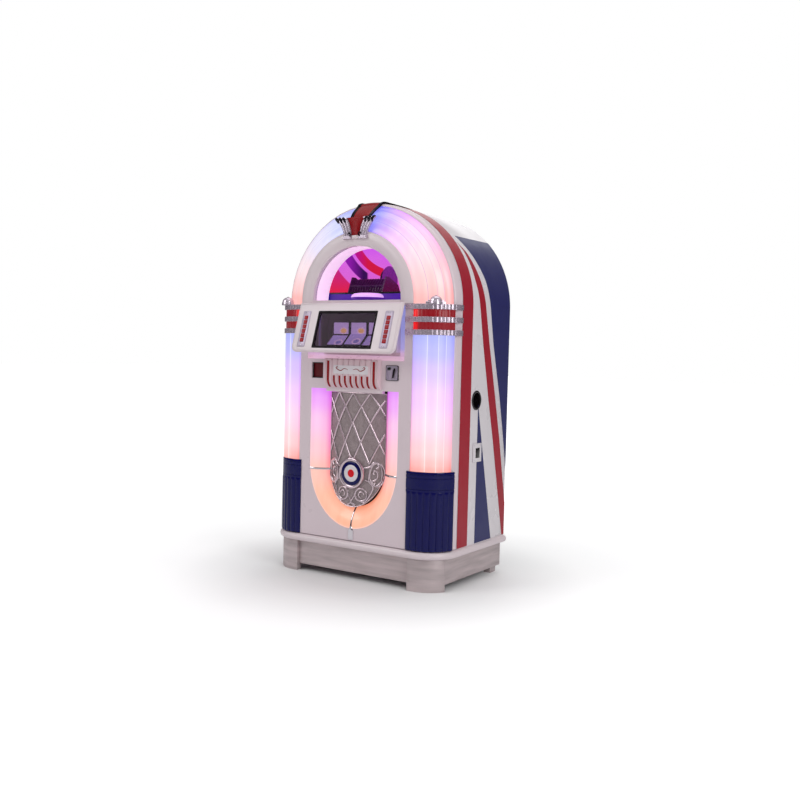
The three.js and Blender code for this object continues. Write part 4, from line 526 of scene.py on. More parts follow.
WHITE = surface("white_laminate", (226, 220, 224), 0.3, coat=0.2, shade=0.975, patch=2.0, bump=0.012)
WHITE_MOULD = surface("white_moulding", (228, 214, 218), 0.34, coat=0.15, shade=0.97, patch=4.0, bump=0.012)
FRONT_WHITE = surface("front_white", (226, 210, 216), 0.32, coat=0.2, shade=0.97, patch=3.0, bump=0.012)
RIBBED = surface("ribbed_moulding", (232, 206, 212), 0.34, coat=0.1, shade=0.93, patch=8.0, bump=0.02)
RED_VINYL = surface("red_vinyl", (166, 14, 40), 0.36, coat=0.05, shade=0.93, patch=4.0, spec=0.3)
BLUE_VINYL = surface("blue_vinyl", (34, 36, 98), 0.36, coat=0.05, shade=0.93, patch=4.0, spec=0.3)
NAVY = surface("navy_gloss", (5, 6, 82), 0.13, coat=0.22, shade=0.9, patch=8.0, bump=0.008, spec=0.15)
RED_GLOSS = surface("red_gloss", (152, 0, 12), 0.24, coat=0.05, shade=0.82, patch=10.0, spec=0.3)
BADGE_RED = surface("badge_red", (226, 4, 26), 0.3, coat=0.1, shade=0.88, spec=0.3)
KEY_RED = surface("key_red", (170, 4, 26), 0.34, patch=60.0, bump=0.02, spec=0.25)
FLAP_RED = surface("flap_red", (104, 8, 22), 0.4, shade=0.7, patch=30.0, bump=0.02, spec=0.3)
BORDER = surface("screen_border", (22, 10, 18), 0.5, spec=0.15)
BAND_CHROME = surface("band_chrome", (216, 202, 216), 0.26, 0.75, shade=0.86, patch=25.0, spread=0.04)
LATTICE = surface("lattice_chrome", (226, 206, 214), 0.18, 0.9, patch=40.0, spread=0.04)
CHROME = surface("chrome", (224, 218, 224), 0.07, 1.0, shade=0.88, patch=25.0, bump=0.012, spread=0.03)
DARK_CHROME = surface("dark_chrome", (46, 42, 50), 0.12, 1.0, shade=0.7, patch=25.0, bump=0.02, spread=0.04)
BRUSHED = surface("brushed_plinth", (232, 216, 217), 0.4, 0.45, shade=0.36, patch=5.0, bump=0.08, fine=70.0,
                  stretch=(1, 1, 9), spread=0.12)
BLACK = surface("black_plastic", (26, 24, 28), 0.42, bump=0.05)
GLOSS_BLACK = surface("black_gloss", (14, 11, 15), 0.2, coat=0.3)
STEEL = surface("plain_steel", (158, 158, 164), 0.34, 0.9, shade=0.85, patch=12.0, bump=0.05,
                stretch=(6, 1, 1))
SILVER = surface("silver_paint", (188, 174, 194), 0.34, 0.25, shade=0.85, patch=18.0, bump=0.03)
CARDS = surface("rack_black", (46, 34, 52), 0.5, shade=0.75, patch=18.0, bump=0.05)
FOAM = surface("speaker_board", (30, 28, 30), 0.7, patch=25.0, bump=0.1)
# Painted light: the rack frame gives off a dim purple glow.
RACK_DARK = surface("rack_frame", (58, 18, 62), 0.3, coat=0.3, shade=0.7, patch=14.0, bump=0.03,
                    glow=(90, 16, 90), power=0.18)
TRAY = surface("tray_lit", (226, 190, 240), 0.25, coat=0.3, shade=0.85, patch=9.0,
               glow=(232, 180, 246), power=0.62)
JAMB = surface("jamb_lit", (240, 220, 236), 0.4, shade=0.9, patch=7.0, glow=(255, 226, 242), power=0.62)
RED_LIT = split_glow("red_lit_band", "X", 0.272, 0.31, [(0.0, (255, 10, 16)), (0.45, (214, 6, 14)),
                                                        (0.7, (140, 0, 16)), (1.0, (128, 0, 16))], 0.6, 0.85)
DECK = split_glow("deck_purple", "X", 0.0, 0.23, [(0.0, (96, 24, 170)), (0.6, (86, 20, 180)),
                                                  (1.0, (40, 8, 150))], 0.4)
COVE = split_glow("console_cove", "Z", 0.885, 1.0, [(0.0, (246, 204, 226)), (0.16, (238, 200, 236)),
                                                    (0.4, (196, 188, 250)), (1.0, (176, 176, 244))], 0.5, 0.4)
DISC = disc_finish()
BACKDROP = backdrop_finish()
GLASS = glass_finish("clear_glass", (0.98, 0.98, 1.0, 1), 0.25)
SCREEN_GLASS = glass_finish("display_glass", (0.4, 0.31, 0.38, 1), 0.15)
SCREEN = mesh_finish()
UPPER_CARD = glowing_card("upper_card", (196, 200, 236), (240, 214, 110))
LOWER_CARD = glowing_card("lower_card", (166, 172, 222), (120, 130, 190))
PAGE_CARD = glowing_card("page_card", (166, 172, 222), (120, 130, 190), leaf=True)
COLUMN_LENS = lens(
    "column_lens",
    [(0.0, (255, 186, 178)), (0.05, (255, 204, 200)), (0.15, (255, 222, 224)), (0.36, (255, 230, 246)),
     (0.54, (250, 220, 255)), (0.74, (226, 208, 255)), (0.89, (198, 198, 255)), (1.0, (184, 190, 255))],
    [(0.0, (252, 140, 136)), (0.12, (255, 176, 186)), (0.3, (250, 178, 222)), (0.52, (236, 170, 248)),
     (0.74, (206, 166, 252)), (0.89, (174, 168, 252)), (1.0, (158, 162, 252))],
    [(0.0, 0.1), (0.07, 0.6), (0.2, 0.7), (0.34, 1.0), (0.46, 0.75), (0.6, 1.0), (0.7, 0.75), (0.84, 0.6),
     (1.0, 0.05)],
    [(0.36, 0.014), (0.6, 0.01), (0.78, 0.012)])
ARCH_LENS = lens(
    "arch_lens",
    [(0.0, (255, 196, 192)), (0.08, (255, 216, 214)), (0.2, (255, 230, 238)), (0.3, (248, 214, 250)),
     (0.38, (204, 180, 252)), (0.45, (142, 148, 252)), (0.53, (178, 190, 255)), (0.62, (216, 220, 255)),
     (0.72, (238, 232, 250)), (0.86, (252, 234, 238)), (0.95, (255, 214, 212)), (1.0, (255, 190, 184))],
    [(0.0, (255, 170, 170)), (0.12, (255, 186, 202)), (0.25, (250, 180, 232)), (0.36, (214, 140, 246)),
     (0.45, (110, 104, 236)), (0.56, (152, 162, 250)), (0.72, (210, 206, 246)), (0.88, (250, 206, 216)),
     (1.0, (255, 168, 166))],
    [(0.0, 0.3), (0.08, 0.8), (0.2, 0.7), (0.34, 1.0), (0.48, 0.8), (0.6, 1.0), (0.74, 0.75), (0.86, 0.4),
     (1.0, 0.0)],
    [(0.36, 0.01), (0.6, 0.007), (0.78, 0.01)], (150, 124, 206), 0.92)
U_LENS = lens(
    "u_lens",
    [(0.0, (255, 190, 160)), (0.2, (255, 196, 170)), (0.38, (255, 200, 186)), (0.56, (255, 206, 214)),
     (0.76, (254, 204, 240)), (0.92, (242, 172, 252)), (1.0, (230, 152, 252))],
    [(0.0, (255, 148, 104)), (0.22, (255, 154, 122)), (0.42, (254, 146, 152)), (0.7, (248, 140, 208)),
     (1.0, (226, 108, 240))],
    [(0.0, 0.9), (0.4, 1.0), (0.72, 0.7), (1.0, 0.0)], [(0.03, 0.02)], (255, 220, 224))
SLOTS = {"white_gloss": (WHITE, WHITE_MOULD, RIBBED, TRAY), "navy": (BLUE_VINYL, NAVY), "silver": (SILVER,),
         "red": (RED_VINYL, RED_GLOSS, BADGE_RED, KEY_RED, RED_LIT), "black": (BORDER, GLOSS_BLACK),
         "chrome": (BAND_CHROME, LATTICE, CHROME, DARK_CHROME), "mesh": (SCREEN,), "glass": (SCREEN_GLASS,),
         "lens": (JAMB, COVE, COLUMN_LENS, ARCH_LENS, U_LENS), "card": (UPPER_CARD, LOWER_CARD)}
SLOT_OF = {mat.name: slot for slot, mats in SLOTS.items() for mat in mats}

# Cabinet
HALF, DEEP, FRONT_Y = 408.0, 534.0, 133.0
CORNER = 120.0
SHELL_LOW, SHELL_WALL, SHELL_FLOOR = 155.3, 18.0, 20.0
LOCK_Y, LOCK_Z, LOCK_HOLE = 262, 729, 35.3
TAG_Y0, TAG_Y1, TAG_Z0, TAG_Z1, TAG_FACE = 240, 307, 484, 558, 413.2
FILM_LOW, FILM_HIGH, FILM_STEP = 0.1, 0.5, 14.0


def build_shell():
    inner = HALF - SHELL_WALL
    wall = [(inner, FRONT_Y), (HALF - 4, FRONT_Y), (HALF - 1.2, FRONT_Y + 1.2), (HALF, FRONT_Y + 4),
            (HALF, DEEP - 6), (HALF - 1.8, DEEP - 1.8), (HALF - 6, DEEP), (inner, DEEP)]
    floor = block(-inner - 0.3, inner + 0.3, FRONT_Y, DEEP, SHELL_LOW, SHELL_LOW + SHELL_FLOOR)
    part = merge(arch_sweep(wall, SHELL_LOW, 96, 2), floor)
    shell = piece("cabinet_shell_skin", part, WHITE, "cabinet_shell", "cabinet")
    carve(shell, lathe([(LOCK_HOLE, -30), (LOCK_HOLE, 10)], (HALF, LOCK_Y, LOCK_Z), "x", 64))


def side_point(y, s, lift):
    """A point on the cabinet's side and top: s is the height, then the length round the arch."""
    base = arch_base(HALF)
    if s <= base:
        return (HALF + lift, y, s)
    x, z = arch_point(HALF + lift, (s - base) / HALF)
    return (x, y, z)


def value_at(table, s):
    for (s0, v0), (s1, v1) in zip(table, table[1:]):
        if s <= s1:
            return v0 + (v1 - v0) * (s - s0) / (s1 - s0)
    return table[-1][1]


def decal(name, near, far, mat):
    """A printed film on both sides, between two edges given as (s, y) tables."""
    s0, s1 = max(near[0][0], far[0][0]), min(near[-1][0], far[-1][0])
    marks = {s for s, _ in near + far if s0 <= s <= s1} | set(span(s0, s1, int((s1 - s0) / FILM_STEP)))
    rings = []
    for s in sorted(marks):
        a, b = value_at(near, s), max(value_at(far, s), value_at(near, s) + 0.4)
        rings.append([side_point(y, s, lift) for y, lift in
                      ((a, FILM_LOW), (a, FILM_HIGH), (b, FILM_HIGH), (b, FILM_LOW))])
    pair(name, loft(rings), mat, body="cabinet")


def build_art():
    low, crown = 157.0, arch_base(HALF) + HALF * PI / 2
    decal("side_stripe_{}", [(low, 135.0), (crown, 135.0)], [(low, 216.0), (crown, 216.0)], RED_VINYL)
    decal("side_wedge_{}", [(low, 275.4), (710, 277.2)], [(low, 413.6), (710, 278.0)], BLUE_VINYL)
    decal("side_diagonal_{}",
          [(low, 512), (561, 410), (726, 363), (949, 306), (1202, 250), (1329, 240), (1372, 225)],
          [(low, 531), (290, 531), (561, 468), (726, 423), (949, 359), (1202, 295), (1329, 256),
           (1372, 225.4)],
          RED_VINYL)
    decal("side_field_{}",
          [(436, 530.5), (556, 504), (724, 462), (949, 393), (1208, 336.6), (1333, 288.7), (1410, 253)],
          [(436, 531), (1410, 531)], BLUE_VINYL)


def footprint(reach):
    """The base seen from above, let out by a reach."""
    radius, x, small = CORNER + reach, HALF - CORNER, 12
    edge, rear = HALF + reach - small, DEEP + min(reach, 0) - small
    points = arc(x, CORNER, radius, radius, -PI / 2, 0, 24)
    points += arc(edge, rear, small, small, 0, PI / 2, 8) + arc(-edge, rear, small, small, PI / 2, PI, 8)
    return points + arc(-x, CORNER, radius, radius, PI, 1.5 * PI, 24)


def build_moulding():
    nose = arc(1, 140.15, 15, 14.85, -PI / 2, PI / 2, 12)
    rings = [[(x, y, z) for x, y in footprint(reach)] for reach, z in [(-60, 155.0), (-60, 125.3)] + nose]
    piece("base_moulding_nose", loft(rings, loop=True), WHITE_MOULD, "base_moulding", "cabinet")


def build_plinth():
    for name in ("plinth_front_panel", "plinth_skirt", "front_foot_right", "front_foot_left"):
        dress(name, BRUSHED, bevel=1.2)
    dress("back_panel", BLACK)


def build_lock():
    ring = [(11.4, 374.5), (26, 374.5), (27.5, 380), (29, 404), (30.5, 409.6), (33, 410.4), (36.5, 410.3),
            (38.6, 409.4), (39, 408.4), (35, 408.4), (35, 376), (11.4, 374)]
    cup = lathe(ring, (0, LOCK_Y, LOCK_Z), "x", 64)
    piece("lock_ring", cup, GLOSS_BLACK, "lock_cup", "cabinet", angle=50)
    dress("lock_cylinder", CHROME, bevel=0.5)
    piece("side_tag", block(HALF + 0.3, TAG_FACE, TAG_Y0, TAG_Y1, TAG_Z0, TAG_Z1), WHITE, "side_tag_plate",
          "cabinet", bevel=1.6, segments=3)
    recess = block(TAG_FACE - 0.6, TAG_FACE + 0.1, TAG_Y0 + 18, TAG_Y1 - 15, TAG_Z0 + 16, TAG_Z1 - 18)
    piece("side_tag_recess", recess, GLOSS_BLACK, body="cabinet", bevel=0.3)
    head = [(0.01, TAG_FACE + 0.1), (2.4, TAG_FACE), (2.6, TAG_FACE - 0.3), (2.6, TAG_FACE - 1.2)]
    for y in (TAG_Y0 + 9, TAG_Y1 - 8):
        for z in (TAG_Z0 + 8, TAG_Z1 - 8):
            piece(f"side_tag_screw_{y}_{z}", lathe(head, (0, y, z), "x", 16), CHROME, body="cabinet")


# Lit lenses
COL_X, COL_Y, COL_R = 291.5, 116.5, 120.0
COL_LOW, COL_TALL, COL_INNER = 461.3, 517.4, 111.5
LOBES = (0.0, 0.36, 0.78, 1.0)
LOBE_DIP = 3.5
U_HALF, U_DROP, U_Z, U_TOP = 213.0, 258.0, 464.0, 759.0
G_HALF, G_DROP, G_R = 136.0, 171.0, 257.0
COVE_DEEP, COVE_THICK = 38.3, 4.5


def lobe_rise(share, lift):
    """The lens swells in three lobes; the middle one stands higher by the lift."""
    k = 0 if share < LOBES[1] else 1 if share < LOBES[2] else 2
    local = (share - LOBES[k]) / (LOBES[k + 1] - LOBES[k])
    rise = math.sqrt(max(0.0, math.sin(PI * clamp(local))))
    return (LOBE_DIP + (lift if k == 1 else 0)) * rise - LOBE_DIP


def turn_at_x(x, r=COL_R):
    return -math.acos((x - COL_X) / r)


def turn_at_y(y, r=COL_R):
    return math.asin((y - COL_Y) / r)


LENS_FROM, LENS_TO = turn_at_x(LENS_IN), turn_at_y(LENS_DEEP)
LENS_TURN = LENS_TO - LENS_FROM


def around(r, a):
    return (COL_X + r * math.cos(a), COL_Y + r * math.sin(a))


def column_uv(x, y, z):
    a = math.atan2(y - COL_Y, abs(x) - COL_X)
    return (clamp((a - LENS_FROM) / LENS_TURN), (z - COL_LOW) / COL_TALL)


def build_columns():
    outline = [around(COL_R + lobe_rise(share, 4), LENS_FROM + LENS_TURN * share) for share in span(0, 1, 84)]
    outline += [around(COL_INNER, a) for a in span(LENS_TO, LENS_FROM, 12)]
    part = loft([[(x, y, z) for x, y in outline] for z in span(COL_LOW, COL_LOW + COL_TALL, 16)])
    pair("column_lens_{}", part, COLUMN_LENS, "column_light_{}", uv=column_uv, angle=50)


def lens_point(share, lift):
    """A (radius, y) point on the arch's lens, from the window's edge to the side."""
    ax, ay = LENS_OUT - LENS_IN, LENS_DEEP
    size = math.hypot(ax, ay)
    rise = 15 * math.sin(PI * share) + lift
    return (LENS_IN + ax * share + ay / size * rise, ay * share - ax / size * rise)


def build_arch_light():
    steps, turns = 60, 120
    rows = [(share, lens_point(share, lobe_rise(share, 0) if 0 < share < 1 else 0))
            for share in span(0, 1, steps)]
    rows += [(1.0, (391, LENS_DEEP))] + [(share, lens_point(share, -8.5)) for share in span(1, 0, 12)[1:-1]]
    rows.append((0.0, (LENS_IN, 5)))
    part = arch_sweep([p for _, p in rows], 1096.8, turns)
    marks = {p: (rows[k % len(rows)][0], clamp((k // len(rows) - 1) / turns)) for k, p in enumerate(part[0])}
    piece("arch_lens_band", part, ARCH_LENS, "arch_light", uv=lambda *p: marks[p], angle=50)


def u_stations(steps=72, legs=6):
    """Rows down one leg, round the bowl and up the other: (side, height) or (None, angle)."""
    leg = [U_TOP + (U_Z - U_TOP) * k / legs for k in range(legs)]
    return [(1, z) for z in leg] + [(None, a) for a in span(0, -PI, steps)] + [(-1, z) for z in reversed(leg)]


def u_place(half, drop, row):
    hand, value = row
    if hand:
        return (hand * half, value)
    return (half * math.cos(value), U_Z + drop * math.sin(value))


def build_u_light():
    shares = span(0, 1, 12)
    outline = [(share, COVE_DEEP * share ** 2) for share in shares]
    outline += [(share, COVE_DEEP * share ** 2 + COVE_THICK) for share in reversed(shares)]
    rings, share_of = [], {}
    for row in u_stations():
        (ox, oz), (ix, iz) = u_place(U_HALF, U_DROP, row), u_place(G_HALF, G_DROP, row)
        ring = [(ox + (ix - ox) * share, y, oz + (iz - oz) * share) for share, y in outline]
        share_of.update({p: share for p, (share, _) in zip(ring, outline)})
        rings.append(ring)
    bottom = U_Z - U_DROP
    piece("u_lens_cove", loft(rings), U_LENS, "u_light", angle=50,
          uv=lambda x, y, z: (share_of.get((x, y, z), 0.5), (z - bottom) / (U_TOP - bottom)))


# Door face
def outside(x, y):
    """Keeps a point clear of the door's face and side trim."""
    if x < LENS_IN + 0.3:
        y = min(y, -0.3)
    if y > LENS_DEEP - 0.3:
        x = max(x, HALF + 0.4)
    return x, y


def sector(section, a0, a1, steps, relief=None, clear=True):
    """Turns a closed (radius, z, share of the relief) section round the column centre."""
    rings = []
    for share in span(0, 1, steps):
        rise = relief(share) if relief else 0
        spots = [around(r + rise * follow, a0 + (a1 - a0) * share) for r, _, follow in section]
        if clear:
            spots = [outside(*spot) for spot in spots]
        rings.append([(x, y, z) for (x, y), (_, z, _) in zip(spots, section)])
    return loft(rings)


def reeds(count, depth, power=0.5):
    return lambda share: depth * (abs(math.sin(PI * count * share)) ** power - 1)


def build_boots():
    low, collar, top, rim_r = 158.0, 385.0, 461.0, 124.5
    skirt = [(118, low, 0), (rim_r, low, 1), (126, low + 1.5, 1), (126, collar - 10, 1),
             (125.6, collar - 4, 0.5), (124.8, collar - 0.5, 0.1), (118, collar - 0.5, 0)]
    rim = [(117.5, collar - 0.5, 0), (rim_r, collar - 0.5, 0)]
    for share in (0.1, 0.66, 0.84):
        z = collar + (top - collar) * share
        rim += [(rim_r, z - 0.4, 0), (122.8, z + 0.5, 0), (122.8, z + 2.5, 0), (rim_r, z + 3.4, 0)]
    rim += [(rim_r, top - 2, 0), (123.8, top - 0.5, 0), (122.5, top, 0), (117.5, top, 0)]
    whole = merge(sector(skirt, turn_at_x(257, 126), turn_at_y(96, 126), 128, reeds(8, 3.4)),
                  sector(rim, turn_at_x(257, rim_r), turn_at_y(96, rim_r), 64))
    pair("boot_{}_fluted", whole, NAVY, "boot_{}", angle=40)


BAND_LOWS, BAND_H, BAND_R = (979.0, 1027.5, 1076.0), 20.2, 128
FINIAL_TURN = LENS_FROM + LENS_TURN * 0.52
MOUND_TURN = LENS_TURN * (LOBES[2] - LOBES[1]) / 2
MOUND_Z = 1096.2


def band_parts():
    """Three fluted bands round the column, each with a flat arm in front and at the side."""
    a0, a1 = turn_at_x(LENS_IN, BAND_R), turn_at_y(92, BAND_R)
    arm = [(238, -0.3), (274, -0.3), (274, -9.2), (241, -9.2), (239, -8.6), (238, -7)]
    rest = [(408.4, 86), (417, 86), (418.2, 90), (417.4, 126), (415.5, 129), (408.4, 130)]
    for low in BAND_LOWS:
        high = low + BAND_H
        section = [(115, low, 0), (BAND_R - 0.6, low, 1), (BAND_R, low + 0.6, 1), (BAND_R, high - 0.6, 1),
                   (BAND_R - 0.6, high, 1), (115, high, 0)]
        yield sector(section, a0, a1, 160, reeds(11, 1.8, 1.0))
        yield above(arm, low, high)
        yield above(rest, low, high)


def mound_parts():
    """The stepped mound under the finial."""
    for inner, outer, low, high, steps, reach, edge, fall in (
            (110.5, 124, -1, 9, 40, 1, 1.4, 1.5),
            (111.5, 122, 8, 14.5, 30, 0.8, 2, 2),
            (111.5, 122, 8, 19, 30, 0.55, 2, 2)):
        low, high, turn = MOUND_Z + low, MOUND_Z + high, MOUND_TURN * reach
        section = [(inner, low, 0), (outer, low, 0), (outer, high - fall, 0), (outer - edge, high, 0),
                   (inner, high, 0)]
        yield sector(section, FINIAL_TURN - turn, FINIAL_TURN + turn, steps, clear=False)


def finial():
    cx, cy = around(COL_R, FINIAL_TURN)
    dome = [(25.4, -1), (25.4, 9.5), (24.4, 11), (23.4, 11.5)] + arc(0, 11.5, 23.6, 20.5, 0, PI / 2, 12)[:-1]
    dome += [(3.2, 31.6), (3.4, 33.4), (2.2, 34.4), (0.01, 34.6)]

    def ribbed(x, y, z):
        if not 11 < z - MOUND_Z < 30:
            return x, y, z
        k = 1 + reeds(6 / PI, 0.035, 0.6)(math.atan2(y - cy, x - cx))
        return cx + (x - cx) * k, cy + (y - cy) * k, z
    return moved(lathe(dome, (cx, cy, MOUND_Z - 1), "z"), ribbed)


def build_bands():
    low, high, bulge = 999.6, 1075.6, 121.6
    red = [(118, low, 0), (bulge - 1, low, 0), (bulge, low + 1.4, 1), (bulge, high - 1.2, 1),
           (bulge - 1, high, 0), (118, high, 0)]
    sleeve = sector(red, turn_at_x(270.9, 121.5) + 0.02, turn_at_y(84, 121.5) - 0.02, 120,
                    reeds(11, 1.2, 0.6), clear=False)
    pair("bands_{}", merge(*band_parts(), *mound_parts()), BAND_CHROME, "band_set_{}")
    pair("finial_{}", finial(), BAND_CHROME, angle=40)
    pair("red_sleeve_{}", sleeve, RED_LIT, "red_band_{}", angle=40)


def build_ring():
    """The softly rounded white ring round the window, from the console up."""
    inner, outer = 213.2, 269.5
    section = [(inner + (outer - inner) * t, -0.2 - 8.0 * math.sin(PI * t) ** 0.6) for t in span(0, 1, 16)]
    piece("window_ring", arch_sweep(section + [(outer, 1.0), (inner, 1.0)], 1097.5), WHITE_MOULD, angle=40)


# Crown
LEDGE_Z, PYLON_LOW, PYLON_HIGH = 1350.0, 1362.0, 1430.0
ROOF_Y = 133.6


def crown_row(lift, start_share):
    points = [lens_point(share, lift) for share in span(start_share, 1, 16)]
    for a in span(0, PI / 2, 8)[1:]:
        points.append((396 + (12 + lift) * math.sin(a), 84.6 + 28 * (1 - math.cos(a)) - lift * math.cos(a)))
    return points + [(HALF + lift, 130)]


def roof_angles(x0, x1, turns):
    return span(math.acos(x0 / HALF), math.acos(x1 / HALF), turns)


def crown_strip(outer, x0, x1, share, turns):
    section = crown_row(outer, share) + crown_row(0.8, share)[::-1]
    return loft([arch_ring(section, a) for a in roof_angles(x0, x1, turns)])


def roof_strip(x0, x1, y1, lift, turns=6):
    """A strap that lies along the cabinet's roof and thins out towards its end."""
    angles = roof_angles(x0, x1, turns)
    rings = []
    for t in span(0, 1, 14):
        top = 0.6 + (lift - 0.6) * (1 - t ** 2.2) ** 0.6
        ring = [arch_point(HALF + top, a) for a in angles]
        ring += [arch_point(HALF + 0.2, a) for a in reversed(angles)]
        rings.append([(x, ROOF_Y + (y1 - ROOF_Y) * t, z) for x, z in ring])
    return loft(rings)


def pylon_section(z, share):
    """Fluted cross-section of a crown pylon at a height, on the +x side."""
    inner, outer = 22 + 20 * share ** 2.2, 55 + 37 * share ** 1.7
    flutes = [(inner + (outer - inner) * t, -16 + 2.6 * (1 - abs(math.sin(PI * 3 * t)) ** 0.7), z)
              for t in span(0, 1, 36)]
    return flutes + [(outer, -3.8, z), (inner, -3.8, z)]


def build_pylons():
    rise = PYLON_HIGH - PYLON_LOW
    body = loft([pylon_section(PYLON_LOW + rise * share, share) for share in span(0, 1, 20)])
    steps = (block(19, 57, -19, -0.3, LEDGE_Z, 1356), block(21, 55, -17.6, -0.3, 1356, 1362.4),
             block(40, 93.5, -17.5, -3.6, 1428.5, 1433))
    root, squash = 1412, 0.8
    leaves = []
    for x in (50, 67, 84):
        path = spline([(x - 3, -14, root), (x, -19, root + 12), (x + 5, -20, root + 22),
                       (x + 9, -15, root + 28), (x + 8, -10, root + 25)])
        leaf = tube(path, lambda s: 5.2 * math.sin(PI * clamp(0.12 + 0.8 * s)) + 0.6, flat=0.5)
        leaves.append(moved(leaf, lambda px, py, pz: (px, py, root + (pz - root) * squash)))
    curl = spline([(26, -15, 1360), (20, -19, 1366), (22, -20, 1374), (28, -18, 1374), (27, -17, 1368)])
    pair("pylon_{}_fluted", merge(body, *steps), BAND_CHROME, "pylon_{}", angle=40)
    pair("pylon_{}_leaves", merge(*leaves, tube(curl, lambda s: 3.0 - 1.4 * s, 8)), DARK_CHROME, angle=50)


def build_crown():
    build_pylons()
    rings = []
    for z in span(1364, 1434, 12):
        half = 21 + 20 * clamp((z - PYLON_LOW) / (PYLON_HIGH - PYLON_LOW)) ** 2.2
        rings.append([(-half, -4, z), (half, -4, z), (half, -9, z), (half * 0.6, -11.5, z), (0, -12.4, z),
                      (-half * 0.6, -11.5, z), (-half, -9, z)])
    saddle = merge(crown_strip(4.6, 44, -44, 0.1, 12), loft(rings))
    piece("crown_saddle_red", saddle, RED_GLOSS, "crown_saddle", angle=40)
    trim = merge(crown_strip(9.0, 57, 51.5, 0.16, 3), crown_strip(6.4, 51.8, 43.6, 0.16, 3))
    pair("crown_trim_{}", trim, DARK_CHROME, angle=40)
    rail = merge(roof_strip(56.5, 51.5, 340, 8.6), roof_strip(51.7, 43.6, 330, 5.6))
    pair("roof_rail_{}", rail, DARK_CHROME, body="cabinet", angle=40)
    piece("roof_strap", roof_strip(43.4, -43.4, 320, 4.0, 12), RED_GLOSS, body="cabinet", angle=40)
    ledge = [(-18.6, -3.6), (-18.6, -11), (-15, -15), (0, -16.5), (15, -15), (18.6, -11), (18.6, -3.6)]
    piece("crown_ledge", above(ledge, LEDGE_Z + 0.5, 1363.4), WHITE_MOULD, bevel=1.6, segments=3)


# Console
HOOD_HALF, HOOD_LOW, HOOD_HIGH, HOOD_OUT, HOOD_LEAN = 249, 903, 1100, -100, 61
FACE_RISE = HOOD_HIGH - HOOD_LOW
FACE_LEN = math.hypot(FACE_RISE, HOOD_LEAN)
FACE_SIN, FACE_COS = FACE_RISE / FACE_LEN, HOOD_LEAN / FACE_LEN
INNER_HALF, INNER_LOW, INNER_HIGH = 180, 915, 1080
KEY_LOW, KEY_PITCH, KEY_X, KEY_COUNT = 50.5, 18.6, 198.0, 6
CARD_HALF, CARD_PITCH, CARD_LOW, CARD_HIGH = 36, 86, 977.5, 1026


def on_face(x, v, out):
    """Console face axes: x, up the slope, out of the face."""
    return (x, HOOD_OUT + v * FACE_COS - out * FACE_SIN, HOOD_LOW + v * FACE_SIN + out * FACE_COS)


def face_block(x0, x1, v0, v1, o0, o1):
    return moved(block(x0, x1, v0, v1, o0, o1), on_face)


def slope(z):
    """The face's depth at a height."""
    return HOOD_OUT + HOOD_LEAN * (z - HOOD_LOW) / FACE_RISE


def build_recess():
    """Lit linings of the recess behind the console."""
    low = 876.9
    wall = [(234.7, 0.8), (234.7, 45.6), (186.6, 45.6), (186.6, 44.6), (233.6, 44.6), (233.6, 0.8)]
    foot = [(x, y, low + (6 * (y + 1) / 19 if y < 18 else 6 + 12 * (y - 18) / 28)) for x, y in wall]
    pair("recess_lining_{}", loft([foot, [(x, y, 1091.7) for x, y in wall]]), COVE, angle=40)
    line = [(0.8, 877.7), (18, 882.6), (45.6, 894.5)]
    line += [(y, z + 1) for y, z in reversed(line)]
    piece("recess_lining_floor", side(line, -233.4, 233.4), COVE, angle=40)


def build_hood():
    rings = []
    for inset, back in ((0, None), (0, 12), (1.2, 6.5), (4.2, 2.4), (8.5, 0.4), (12, 0.0)):
        ring = []
        for x, z in rounded(inset - HOOD_HALF, HOOD_HALF - inset, HOOD_LOW + inset, HOOD_HIGH - inset * 0.9,
                            26 - inset * 0.8, 10, top=False):
            if back is None:
                ring.append((x * (1 - 0.66 * (95.2 - 0.2957 * (z - HOOD_LOW)) / HOOD_HALF), -0.3, z))
            else:
                ring.append((x, slope(z) + back, z))
        rings.append(ring)
    housing = piece("console_hood", loft(rings), WHITE_MOULD, "console_housing", angle=30)
    cavity = side([(slope(INNER_LOW) + 6, INNER_LOW), (60, INNER_LOW), (60, INNER_HIGH),
                   (slope(INNER_HIGH) + 6, INNER_HIGH)], -INNER_HALF, INNER_HALF)
    shafts = [face_block(x - 11, x + 11, KEY_LOW - 14, KEY_LOW + KEY_PITCH * KEY_COUNT - 4, -12, 4)
              for x in (-KEY_X, KEY_X)]
    carve(housing, cavity, face_block(-143, 143, 18.8, 172.7, -16, 9), *shafts)
    rear = piece("console_box", block(-186, 186, 18.4, 61.8, 909, 1085.7), WHITE_MOULD)
    carve(rear, block(-INNER_HALF, INNER_HALF, 0, 56, INNER_LOW, INNER_HIGH))


